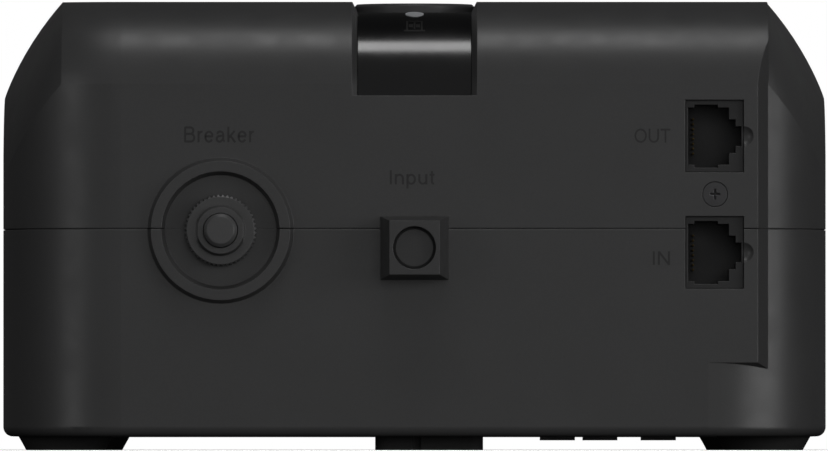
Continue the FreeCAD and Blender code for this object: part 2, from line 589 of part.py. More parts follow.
def bottom_openings():
    """The battery opening, the recess its door slides into, the hook notches and the seats of the feet."""
    gap = "door_gap"
    opening = box("battery_opening", ("door_x_low - " + gap, "door_x_high + " + gap),
                  ("door_y_low - " + gap, "door_y_high + " + gap), ("foot_z - 1", "landing_top + 1"))
    landing = box("landing_recess", ("door_x_low - " + gap, "door_x_high + " + gap),
                  ("door_y_low - door_travel - door_slack", "door_y_low + 1"), ("foot_z - 1", "landing_roof"))
    tools = [opening, landing]
    for side, edge, sign in (("left", "door_x_low", "-"), ("right", "door_x_high", "+")):
        for number in (-1, 0, 1):
            middle = "hook_y + %d * hook_pitch - door_travel" % number
            low, high = (edge + " - hook_reach - 0.4", edge) if sign == "-" else (edge, edge + " + hook_reach + 0.4")
            tools.append(box("hook_notch_%s_%d" % (side, number + 1), (low, high),
                             (middle + " - hook_l / 2 - 0.5", middle + " + hook_l / 2 + 0.5"),
                             ("foot_z - 1", FLOOR + " + 0.5")))
    for x, y, name in feet_places():
        tools.append(rod("seat_" + name, "foot_top_r + 0.1", "z", x, y, ("foot_z - 1", "foot_z + foot_seat")))
    tools.append(box("seat_centre_foot", ("centre_foot_low - 0.1", "centre_foot_high + 0.1"),
                     (FRONT + " + centre_foot_y - 0.1", FRONT + " + centre_foot_y + centre_foot_l + 0.1"),
                     ("foot_z - 1", "foot_z + foot_seat")))
    return tools


def vents():
    """A row of upright cooling slots in each side wall, beside the transformer."""
    tools = []
    for side, span in (("left", ("-body_w", "wall + 3 - body_w / 2")), ("right", ("body_w / 2 - wall - 3", "body_w"))):
        for number in range(9):
            middle = "vent_y + %d * vent_pitch" % number
            tools.append(box("vent_%s_%d" % (side, number), span, (middle, middle + " + vent_w"),
                             ("vent_z", "vent_z + vent_h")))
    return tools


def feet_places():
    rows = (("front", FRONT + " + foot_in_y"), ("back", BACK + " - foot_in_y"))
    return [(sign + "foot_x", y, "%s_%s" % (row, side))
            for row, y in rows for side, sign in (("left", "-"), ("right", ""))]


# ---------------------------------------------------------------- strip, lens, button

def lens_rod(slack, low, high):
    """A rod on the lens's tilted axis, from one distance from the end round's axis to another."""
    tilt = math.radians(size("lens_tilt"))
    along = Vector(0, -math.sin(tilt), math.cos(tilt))
    start = Vector(0, size(ARCH_FRONT), size(ARCH_Z)) + along * low
    return Part.makeCylinder(size("lens_r") + slack, high - low, start, along)


def strip_and_lens():
    gap = size("strip_gap")
    band = arch(size(STRIP_OUT) - size("strip_thick"), size(STRIP_OUT), size("strip_half") - gap,
                size("strip_half") - gap)
    strip = feature("strip_band", band)
    hole = rod("strip_button_hole", "bezel_hole_r", "z", "0", "button_y", (CHANNEL_UNDER, "top_z"))
    lens_hole = feature("strip_lens_hole", lens_rod(0.05, size("lens_low"), size("end_round")))
    sub_part(cut("indicator_strip", strip, [hole, lens_hole]), "indicator_strip")
    lens = feature("lens", lens_rod(0, size("lens_low"), size(STRIP_OUT) + size("lens_proud")))
    sub_part(lens, "status_lens")


def turned_piece(name, points):
    """A piece turned about +Z from half its section, given as (radius, height) formulas."""
    body = new_body(name)
    half = sketch(body, name + "_section", "XZ_Plane")
    outline(half, points)
    turn = body.newObject("PartDesign::Revolution", name + "_turn")
    turn.Profile = half
    turn.ReferenceAxis = (half, ["V_Axis"])
    turn.Angle = 360
    doc.recompute()
    return body


def panel_rods(name, radius, z):
    """Four rods at the screws of the indicator board: its bosses, its holes or its screws."""
    rows = (PANEL_Y[0] + " + panel_screw_in", PANEL_Y[1] + " - panel_screw_in")
    return [rod("%s_%d_%d" % (name, row, column), radius, "z", x, y, z)
            for row, y in enumerate(rows) for column, x in enumerate(("-panel_screw_x", "panel_screw_x"))]


def button():
    top = STRIP_TOP + " + bezel_high"
    bezel = turned_piece("bezel", [
        ("bezel_hole_r", STRIP_TOP), ("bezel_r", STRIP_TOP), ("bezel_r", top + " - 0.5"), ("bezel_r - 0.5", top),
        ("bezel_hole_r + 0.3", top), ("bezel_hole_r", top + " - 0.3")])
    place(bezel, "0", "button_y", "0")
    sub_part(bezel, "button_bezel")
    flange_top = "(%s - button_low)" % CHANNEL_UNDER
    flange_low = "(%s - button_flange)" % flange_top
    cap_top = top + " - 0.15"
    cap = turned_piece("power_cap", [
        ("0", flange_low + " - button_stem"), ("button_stem_r", flange_low + " - button_stem"),
        ("button_stem_r", flange_low), ("button_flange_r", flange_low), ("button_flange_r", flange_top),
        ("button_r", flange_top), ("button_r", cap_top + " - 0.6"), ("button_r - 0.6", cap_top),
        ("button_r - 3", cap_top + " - 0.25"), ("0", cap_top + " - 0.4")])
    place(cap, "0", "button_y", "0")
    sub_part(cap, "power_button")

    low_z = "(board_top_z - board_thick)"
    board = box("panel_board", ("-panel_board_half", "panel_board_half"), PANEL_Y, (low_z, "board_top_z"))
    board_holes = panel_rods("panel_hole", "panel_screw_r + 0.1", (low_z + " - 1", "board_top_z + 1"))
    sub_part(cut("indicator_board", board, board_holes), "indicator_board")
    case = box("key_case", ("-key_switch / 2", "key_switch / 2"),
               ("button_y - key_switch / 2", "button_y + key_switch / 2"),
               ("board_top_z", "board_top_z + key_switch_high"))
    well = rod("key_well", "button_stem_r + 0.3", "z", "0", "button_y", ("board_top_z + 0.3", "board_top_z + 10"))
    sub_part(cut("power_switch", case, [well]), "power_switch")
    tilt = math.radians(size("lens_tilt"))
    led_y = size(ARCH_FRONT) - (size("lens_low") - 1) * math.sin(tilt)
    led = rod("led_body", "led_r", "z", "0", str(round(led_y, 2)), ("board_top_z", "board_top_z + led_high"))
    sub_part(led, "status_led")


# ---------------------------------------------------------------- breaker

def breaker():
    x, z = "breaker_x", "breaker_z"
    w, tall = "breaker_w / 2", "breaker_h / 2"
    back = "(%s + breaker_l)" % BREAKER_BACK
    case = box("breaker_block", (x + " - " + w, x + " + " + w), (BREAKER_BACK, back),
               (z + " - " + tall, z + " + " + tall))
    well = rod("breaker_well", "reset_flange_r + reset_gap", "y", x,
               (BREAKER_BACK + " - 1", BREAKER_BACK + " + 8.5"), z)
    sub_part(cut("breaker_case", case, [well]), "breaker_case")
    face = "(%s - bushing_out)" % RECESS_FLOOR
    nut_front = "(%s - nut_thick)" % RECESS_FLOOR
    barrel = rod("bushing_barrel", "bushing_r", "y", x, (face + " + bushing_edge", BREAKER_BACK), z)
    lip = cone("bushing_lip", "bushing_r - bushing_edge", "bushing_r", "y", x, (face, face + " + bushing_edge"), z)
    flats = [box("bushing_flat_" + side, ("%s %s" % (x, low), "%s %s" % (x, high)), (face + " - 1", nut_front),
                 (z + " - bushing_r", z + " + bushing_r"))
             for side, low, high in (("left", "- bushing_r - 1", "- bushing_flats / 2"),
                                     ("right", "+ bushing_flats / 2", "+ bushing_r + 1"))]
    bore = rod("bushing_bore", "reset_r + reset_gap", "y", x, (face + " - 1", BREAKER_BACK + " + 1"), z)
    sub_part(cut("breaker_bushing", fused("bushing_solid", [barrel, lip]), flats + [bore]), "breaker_bushing")

    nut = new_body("nut")
    blank = sketch(nut, "nut_blank", "XZ_Plane")
    ring(blank, "nut_r")
    pad(nut, "nut_pad", blank, "nut_thick")
    hole = sketch(nut, "nut_hole", "XZ_Plane")
    ring(hole, "bushing_r + 0.02")
    pocket(nut, "nut_bore", hole, "nut_thick", backwards=True)
    notch = sketch(nut, "nut_notch", "XZ_Plane")
    half = "3.14159 * nut_r / nut_teeth * 0.9 * (nut_r + 0.2 - nut_root_r) / (nut_r - nut_root_r)"
    outline(notch, [("0", "nut_root_r"), (half, "nut_r + 0.2"), ("-" + half, "nut_r + 0.2")])
    cutting = pocket(nut, "nut_groove", notch, "nut_thick", backwards=True)
    teeth = nut.newObject("PartDesign::PolarPattern", "nut_knurl")
    teeth.Originals = [cutting]
    teeth.Axis = (blank, ["N_Axis"])
    teeth.Angle = 360
    teeth.Occurrences = int(size("nut_teeth"))
    nut.Tip = teeth
    place(nut, x, RECESS_FLOOR, z)
    edge = cone("nut_edge_cone", "nut_r - nut_edge", "nut_r + 0.1", "y", x, (nut_front, nut_front + " + nut_edge"), z)
    rest = rod("nut_edge_rest", "nut_r + 0.1", "y", x, (nut_front + " + nut_edge", RECESS_FLOOR), z)
    sub_part(common("nut_solid", [nut, fused("nut_edge_form", [edge, rest])]), "breaker_nut")

    tip = "(%s - reset_out)" % RECESS_FLOOR
    flange = "(%s + reset_travel + 0.6)" % BREAKER_BACK
    stem = rod("reset_stem", "reset_r", "y", x, (tip + " + 0.7", flange + " + 2"), z)
    nose = cone("reset_nose", "reset_r - 0.7", "reset_r", "y", x, (tip, tip + " + 0.7"), z)
    collar = rod("reset_collar", "reset_flange_r", "y", x, (flange, flange + " + 2"), z)
    sub_part(fused("reset_button", [stem, nose, collar]), "breaker_reset_button")

    tabs = []
    for name, sign in (("upper", "+"), ("lower", "-")):
        middle = "%s %s breaker_tab_z" % (z, sign)
        tabs.append(box("breaker_tab_" + name, (x + " - tab_w / 2", x + " + tab_w / 2"), (back, back + " + tab_l"),
                        (middle + " - tab_thick / 2", middle + " + tab_thick / 2")))
    sub_part(group("breaker_tabs", tabs), "breaker_tabs")


# ---------------------------------------------------------------- cord inlet

def gland():
    body = new_body("gland")
    profiles = []
    for name, height, wide, tall in (("base", "0", "gland_base_w", "gland_base_h"),
                                     ("front", "gland_out", "gland_front_w", "gland_front_h")):
        profile = sketch(body, "gland_" + name, "XZ_Plane", height)
        oblong(profile, ("-%s / 2" % wide, wide + " / 2"), ("-%s / 2" % tall, tall + " / 2"))
        profiles.append(profile)
    loft = body.newObject("PartDesign::AdditiveLoft", "gland_block")
    loft.Profile = profiles[0]
    loft.Sections = profiles[1:]
    loft.Ruled = True
    doc.recompute()
    neck = sketch(body, "gland_neck", "XZ_Plane")
    ring(neck, "gland_neck_r")
    pad(body, "gland_neck_pad", neck, "wall + 0.1", backwards=True)
    flange = sketch(body, "gland_flange", "XZ_Plane", "-wall - 0.1")
    oblong(flange, ("-gland_flange / 2", "gland_flange / 2"), ("-gland_flange / 2", "gland_flange / 2"))
    pad(body, "gland_flange_pad", flange, "gland_flange_thick", backwards=True)
    mouth = sketch(body, "gland_mouth", "XZ_Plane", "gland_out")
    ring(mouth, "cord_r")
    pocket(body, "gland_bore", mouth, "cord_deep")
    place(body, "0", FRONT, "gland_z")
    sub_part(body, "cord_gland")


# ---------------------------------------------------------------- data jacks

def jack(name, middle):
    body = new_body("jack_" + name)
    low, high = "jack_x_low + jack_gap", "jack_x_high - jack_gap"
    half = "(jack_h / 2 - jack_gap)"
    nose = sketch(body, "nose_" + name, "XZ_Plane")
    oblong(nose, (low, high), ("-" + half, half))
    pad(body, "nose_pad_" + name, nose, "wall - jack_in + 0.2", backwards=True)
    back = sketch(body, "back_" + name, "XZ_Plane", "jack_in - wall - 0.2")
    grow = "jack_back_grow"
    oblong(back, (low + " - " + grow, high + " + " + grow), ("-%s - %s" % (half, grow), "%s + %s" % (half, grow)))
    pad(body, "back_pad_" + name, back, "jack_l - wall", backwards=True)
    mouth = sketch(body, "mouth_" + name, "XZ_Plane")
    cavity, one, two, key = "cavity_h / 2", "latch_h_one / 2", "latch_h_two / 2", "(cavity_h / 2 + key_deep)"
    upper = [("cavity_x_low", cavity), ("key_x_low", cavity), ("key_x_low", key), ("key_x_high", key),
             ("key_x_high", cavity), ("cavity_x_high", cavity), ("cavity_x_high", one), ("latch_x_one", one),
             ("latch_x_one", two), ("latch_x_two", two)]
    lower = [(x, "-" + z) for x, z in reversed(upper)]
    outline(mouth, upper + lower)
    pocket(body, "cavity_" + name, mouth, "jack_deep")
    place(body, "0", FRONT + " + jack_in", middle)
    sub_part(body, "data_jack_" + name)


def data_ports():
    front = "(%s + jack_in)" % FRONT
    wires = []
    for name, middle in (("out", "jack_out_z"), ("in", "jack_in_z")):
        jack(name, middle)
        for number in range(8):
            z = "%s + (%d - 3.5) * contact_pitch" % (middle, number)
            wires.append(rod("contact_%s_%d" % (name, number), "contact_r", "y", "cavity_x_low + 1.1",
                             (front + " + 3.2", front + " + jack_deep"), z))
    sub_part(group("jack_contacts", wires), "jack_contacts")
    low = "(jack_x_low + jack_gap - jack_back_grow)"
    inner = "(%s + 0.2)" % END_INNER
    sub_part(box("surge_board", (low + " - board_thick", low), (inner, inner + " + surge_board_l"),
                 ("surge_board_z_low", "surge_board_z_high")), "surge_board")
    block = box("bracket_block", (low, "jack_x_high"), (inner, inner + " + bracket_l"),
                ("jack_in_z + jack_h / 2 + 0.6", "jack_out_z - jack_h / 2 - 0.6"))
    pilot = rod("bracket_pilot", "screw_r + 0.02", "y", "jack_screw_x", (inner + " - 1", inner + " + bracket_l + 1"),
                "jack_screw_z")
    sub_part(cut("jack_bracket", block, [pilot]), "jack_bracket")
    parts = []
    for number, (z, w, tall) in enumerate((("32", "6", "5"), ("53", "9", "9"), ("70", "7", "6"))):
        y = inner + " + 21"
        parts.append(box("surge_part_%d" % number, (low, low + " + " + w), (y, y + " + 8"), (z, z + " + " + tall)))
    sub_part(group("surge_arresters", parts), "surge_arresters")

    x, z = "jack_screw_x", "jack_screw_z"
    head = rod("jack_screw_head", "screw_head_r", "y", x, (FRONT + " + 0.1", FRONT + " + screw_head"), z)
    shank = rod("jack_screw_shank", "screw_r", "y", x, (FRONT + " + 0.5", FRONT + " + screw_l"), z)
    cross = [box("cross_flat", (x + " - cross_l / 2", x + " + cross_l / 2"), (FRONT, FRONT + " + cross_deep"),
                 (z + " - cross_w / 2", z + " + cross_w / 2")),
             box("cross_upright", (x + " - cross_w / 2", x + " + cross_w / 2"), (FRONT, FRONT + " + cross_deep"),
                 (z + " - cross_l / 2", z + " + cross_l / 2"))]
    sub_part(cut("jack_screw", fused("jack_screw_solid", [head, shank]), cross), "jack_screw")


# ---------------------------------------------------------------- outlets

def outlet_y(number):
    return "(%s + (%d - 1.5) * outlet_pitch)" % (MIDDLE, number)


def outlet_opening(number, side):
    half_w, half_l = size("outlet_w / 2 + outlet_gap"), size("outlet_l / 2 + outlet_gap")
    x, y = side * size("outlet_x"), size(outlet_y(number))
    shape = rounded_block((x - half_w, x + half_w), (y - half_l, y + half_l), (size("top_z - 6"), size("top_z + 1")),
                          size("outlet_corner + outlet_gap"))
    return feature("outlet_opening_%d_%d" % (number, side), shape)


def outlet(number, side, label):
    """A three-hole outlet module, its top face at local z 0 and its earth hole towards local +X."""
    body = new_body("outlet_%s_%d" % (label, number))
    tag = "_%s_%d" % (label, number)
    half_w, half_l = "outlet_w / 2", "outlet_l / 2"
    face = sketch(body, "face" + tag, "XY_Plane")
    oblong(face, ("-" + half_w, half_w), ("-" + half_l, half_l))
    pad(body, "face_pad" + tag, face, "outlet_deep", backwards=True)
    rounded(body, "face_round" + tag, "outlet_corner", upright)
    drop = "outlet_below - wall - 0.1"
    rim = sketch(body, "rim" + tag, "XY_Plane", "(%s)" % drop)
    oblong(rim, ("-%s - outlet_flange" % half_w, half_w + " + outlet_flange"),
           ("-%s - outlet_flange" % half_l, half_l + " + outlet_flange"))
    pad(body, "rim_pad" + tag, rim, "outlet_flange_thick", backwards=True)
    holes = sketch(body, "holes" + tag, "XY_Plane")
    for sign, width in (("", "slot_hot"), ("-", "slot_neutral")):
        middle = sign + "slot_apart / 2"
        oblong(holes, ("slot_x - %s / 2" % width, "slot_x + %s / 2" % width),
               (middle + " - slot_w / 2", middle + " + slot_w / 2"))
    ring(holes, "ground_r", "ground_x", "0")
    pocket(body, "hole_pocket" + tag, holes, "outlet_deep")
    body.Placement.Rotation = FreeCAD.Rotation(Vector(0, 0, 1), 0 if side > 0 else 180)
    place(body, "outlet_x" if side > 0 else "-outlet_x", outlet_y(number), OUTLET_TOP)
    sub_part(body, "outlet_%s_%d" % (label, number + 1))


def outlets():
    clips, earths, bars = [], [], []
    for side, label in ((-1, "left"), (1, "right")):
        sign = "" if side > 0 else "-"
        for number in range(4):
            outlet(number, side, label)
            x, y = sign + "outlet_x", outlet_y(number)
            slots = "%s + (%sslot_x)" % (x, sign)
            for apart in ("", "-"):
                for edge, span in (("a", ("-slot_w / 2", "clip_thick - slot_w / 2")),
                                   ("b", ("slot_w / 2 - clip_thick", "slot_w / 2"))):
                    middle = "%s + (%sslot_apart / 2)" % (y, apart)
                    clips.append(box("clip_%s_%d_%s%s" % (label, number, "m" if apart else "p", edge),
                                     (slots + " - clip_l / 2", slots + " + clip_l / 2"),
                                     (middle + " + " + span[0], middle + " + " + span[1]),
                                     (CLIP_LOW, CLIP_LOW + " + clip_high")))
            earth_x = "%s + (%sground_x)" % (x, sign)
            tube = rod("earth_tube_%s_%d" % (label, number), "ground_clip_r", "z", earth_x, y,
                       (CLIP_LOW, CLIP_LOW + " + clip_high"))
            bore = rod("earth_bore_%s_%d" % (label, number), "ground_clip_r - 0.15", "z", earth_x, y,
                       (CLIP_LOW + " - 1", CLIP_LOW + " + clip_high + 1"))
            earths.append(cut("earth_clip_%s_%d" % (label, number), tube, [bore]))
        run = (outlet_y(0) + " - 12", outlet_y(3) + " + 12")
        for apart, offset in (("live", "-4"), ("earth", "12")):
            middle = "%soutlet_x + (%s)" % (sign, offset if side > 0 else ("4" if apart == "live" else "-12"))
            bars.append(box("bar_%s_%s" % (label, apart), (middle + " - bar_w / 2", middle + " + bar_w / 2"), run,
                            (CLIP_LOW + " - bar_thick", CLIP_LOW)))
    sub_part(group("clips", clips), "outlet_clips")
    sub_part(group("tubes", earths), "earth_clips")
    sub_part(group("bars", bars), "bus_bars")


# ---------------------------------------------------------------- feet and battery door

def feet():
    pads = [cone("foot_" + name, "foot_low_r", "foot_top_r", "z", x, y, ("0", "foot_z")) for x, y, name in feet_places()]
    plugs = [rod("foot_plug_" + name, "foot_top_r", "z", x, y, ("foot_z", "foot_z + foot_seat"))
             for x, y, name in feet_places()]
    whole = [fused("foot_whole_%d" % n, list(pair)) for n, pair in enumerate(zip(pads, plugs))]
    sub_part(group("rubber_feet", whole), "rubber_feet")

    body = new_body("middle_foot")
    base = sketch(body, "middle_foot_plan", "XY_Plane")
    oblong(base, ("centre_foot_low", "centre_foot_high"), ("0", "centre_foot_l"))
    pad(body, "middle_foot_pad", base, "foot_z + foot_seat")
    rounded(body, "middle_foot_round", "centre_foot_round", upright)
    slot = sketch(body, "middle_foot_slot", "XY_Plane")
    ring(slot, "centre_foot_groove / 2", "centre_foot_groove_x", "0")
    pocket(body, "middle_foot_groove", slot, "foot_z + foot_seat", backwards=True)
    place(body, "0", FRONT + " + centre_foot_y", "0")
    sub_part(body, "centre_foot")


def battery_door():
    body = new_body("door")
    plan = sketch(body, "door_plan", "XY_Plane", "foot_z")
    oblong(plan, ("door_x_low", "door_x_high"), ("door_y_low", "door_y_high"))
    pad(body, "door_plate", plan, "door_thick")
    for name in ("one", "two", "three"):
        rib = sketch(body, "rib_" + name, "XY_Plane", "foot_z")
        oblong(rib, ("rib_%s_low" % name, "rib_%s_high" % name), ("rib_y_low", "rib_y_high"))
        pad(body, "rib_pad_" + name, rib, "foot_z - rib_z", backwards=True)
    for side, edge, inward, outward in (("left", "door_x_low", " + hook_w", " - hook_reach"),
                                        ("right", "door_x_high", " - hook_w", " + hook_reach")):
        for number in (-1, 0, 1):
            tag = "%s_%d" % (side, number + 1)
            middle = "hook_y + (%d) * hook_pitch" % number
            span = (middle + " - hook_l / 2", middle + " + hook_l / 2")
            riser = sketch(body, "riser_" + tag, "XY_Plane", "foot_z + door_thick")
            oblong(riser, (edge, edge + inward), span)
            pad(body, "riser_pad_" + tag, riser, "hook_high - foot_z - door_thick")
            hook = sketch(body, "hook_" + tag, "XY_Plane", "hook_low")
            oblong(hook, (edge + outward, edge + inward), span)
            pad(body, "hook_pad_" + tag, hook, "hook_high - hook_low")
    sub_part(body, "battery_door")


def housing_screws():
    screws = []
    shanks = posts(("foot_z + head_hole", "foot_z + housing_screw_l"), "housing_screw_r")
    heads = posts(("foot_z + head_hole - housing_head", "foot_z + head_hole"), "housing_head_r")
    bits = posts(("foot_z + head_hole - housing_head - 0.1", "foot_z + head_hole - housing_head + 1"), "1.1")
    for number, (shank, head, bit) in enumerate(zip(shanks, heads, bits)):
        whole = fused("housing_screw_%d" % number, [shank, head])
        screws.append(cut("housing_screw_cut_%d" % number, whole, [bit]))
    sub_part(group("housing_screws", screws), "housing_screws")


# ---------------------------------------------------------------- battery

def battery():
    split = "(cell_x_low + cell_lid)"
    case = new_body("cell")
    plan = sketch(case, "cell_plan", "XY_Plane", "cell_z_low")
    oblong(plan, (split, "cell_x_high"), ("cell_y_low", "cell_y_high"))
    pad(case, "cell_pad", plan, "cell_z_high - cell_z_low")
    rounded(case, "cell_rounds", "cell_round", lambda edge: abs(edge.Vertexes[0].Point.x - size("cell_x_high")) < 1e-3
            and abs(edge.Vertexes[-1].Point.x - size("cell_x_high")) < 1e-3)
    sub_part(case, "battery_case")
    inset = "cell_lid_inset"
    lid = box("cell_lid_block", ("cell_x_low", split), ("cell_y_low + " + inset, "cell_y_high - " + inset),
              ("cell_z_low + " + inset, "cell_z_high - " + inset))
    wells = [box("lid_well_%d" % n, ("cell_x_low - 1", "cell_x_low + 2.5"), (y + " - 6", y + " + 6"),
                 ("terminal_z - 7", "terminal_z + 7")) for n, y in enumerate(terminal_places())]
    sub_part(cut("battery_lid", lid, wells), "battery_lid")
    tabs = [box("cell_tab_%d" % n, ("cell_x_low - terminal_l", "cell_x_low + 2.5"),
                (y + " - terminal_w / 2", y + " + terminal_w / 2"),
                ("terminal_z - terminal_thick / 2", "terminal_z + terminal_thick / 2"))
            for n, y in enumerate(terminal_places())]
    sub_part(group("battery_terminals", tabs), "battery_terminals")


def terminal_places():
    return "(cell_y_low + terminal_in_y)", "(cell_y_high - terminal_in_y)"


# ---------------------------------------------------------------- transformer

def transformer():
    x = ("core_x - core_stack / 2", "core_x + core_stack / 2")
    y = ("core_y - core_l / 2", "core_y + core_l / 2")
    top = "(core_z_low + core_h)"
    block = box("core_block", x, y, ("core_z_low", top))
    side = "(core_l - 3 * limb + limb) / 4"
    low, high = "(core_z_low + core_h / 2 - window_h / 2)", "(core_z_low + core_h / 2 + window_h / 2)"
    windows = [box("window_%d" % n, (x[0] + " - 1", x[1] + " + 1"), span, (low, high)) for n, span in enumerate((
        ("core_y - limb / 2 - " + side, "core_y - limb / 2"), ("core_y + limb / 2", "core_y + limb / 2 + " + side)))]
    sub_part(cut("transformer_core", block, windows), "transformer_core")

    gap, wall = "coil_gap", "bobbin_wall"
    reach = "(%s - coil_gap)" % side
    outer_x = ("core_x - core_stack / 2 - coil_out", "core_x + core_stack / 2 + coil_out")
    outer_y = ("core_y - limb / 2 - " + reach, "core_y + limb / 2 + " + reach)
    z = (low + " + " + gap, high + " - " + gap)

    def tube(name, margin_x, margin_y, z_span, hole_x, hole_y):
        body = box(name + "_block", margin_x, margin_y, z_span)
        hole = box(name + "_hole", hole_x, hole_y, ("core_z_low", top))
        return cut(name, body, [hole])

    limb_x = ("core_x - core_stack / 2 - " + gap, "core_x + core_stack / 2 + " + gap)
    limb_y = ("core_y - limb / 2 - " + gap, "core_y + limb / 2 + " + gap)
    skin_x = ("core_x - core_stack / 2 - %s - %s" % (gap, wall), "core_x + core_stack / 2 + %s + %s" % (gap, wall))
    skin_y = ("core_y - limb / 2 - %s - %s" % (gap, wall), "core_y + limb / 2 + %s + %s" % (gap, wall))
    sleeve = tube("bobbin_sleeve", skin_x, skin_y, z, limb_x, limb_y)
    flanges = [tube("bobbin_flange_%d" % n, outer_x, outer_y, span, limb_x, limb_y) for n, span in enumerate((
        (z[0], z[0] + " + " + wall), (z[1] + " - " + wall, z[1])))]
    sub_part(fused("bobbin", [sleeve] + flanges), "transformer_bobbin")
    inset = " + 0.6", " - 0.6"
    winding = tube("winding", (outer_x[0] + inset[0], outer_x[1] + inset[1]), (outer_y[0] + inset[0], outer_y[1] + inset[1]),
                   (z[0] + " + " + wall, z[1] + " - " + wall), skin_x, skin_y)
    sub_part(winding, "transformer_winding")

    thick = "strap_thick"
    strap_x = ("core_x - 9", "core_x + 9")
    over = box("strap_top", strap_x, (y[0] + " - " + thick, y[1] + " + " + thick), (top, top + " + " + thick))
    legs, feet_items, holes = [], [], []
    for n, (wall_span, foot_span, hole_y) in enumerate((
            ((y[0] + " - " + thick, y[0]), (y[0] + " - strap_foot", y[0]), y[0] + " - 7"),
            ((y[1], y[1] + " + " + thick), (y[1], y[1] + " + strap_foot"), y[1] + " + 7"))):
        legs.append(box("strap_leg_%d" % n, strap_x, wall_span, ("core_z_low - " + thick, top)))
        feet_items.append(box("strap_foot_%d" % n, strap_x, foot_span, ("core_z_low - " + thick, "core_z_low")))
        holes.append(rod("strap_hole_%d" % n, "1.8", "z", "core_x", hole_y, ("core_z_low - 3", "core_z_low + 3")))
    strap = fused("strap_solid", [over] + legs + feet_items)
    sub_part(cut("transformer_strap", strap, holes), "transformer_strap")


# ---------------------------------------------------------------- main board

def on_board(name, x, y, wide, long, tall):
    """A box standing on the main board with its middle at x, y."""
    return box(name, ("%s - %s / 2" % (x, wide), "%s + %s / 2" % (x, wide)),
               ("%s - %s / 2" % (y, long), "%s + %s / 2" % (y, long)), (BOARD_TOP, BOARD_TOP + " + " + tall))


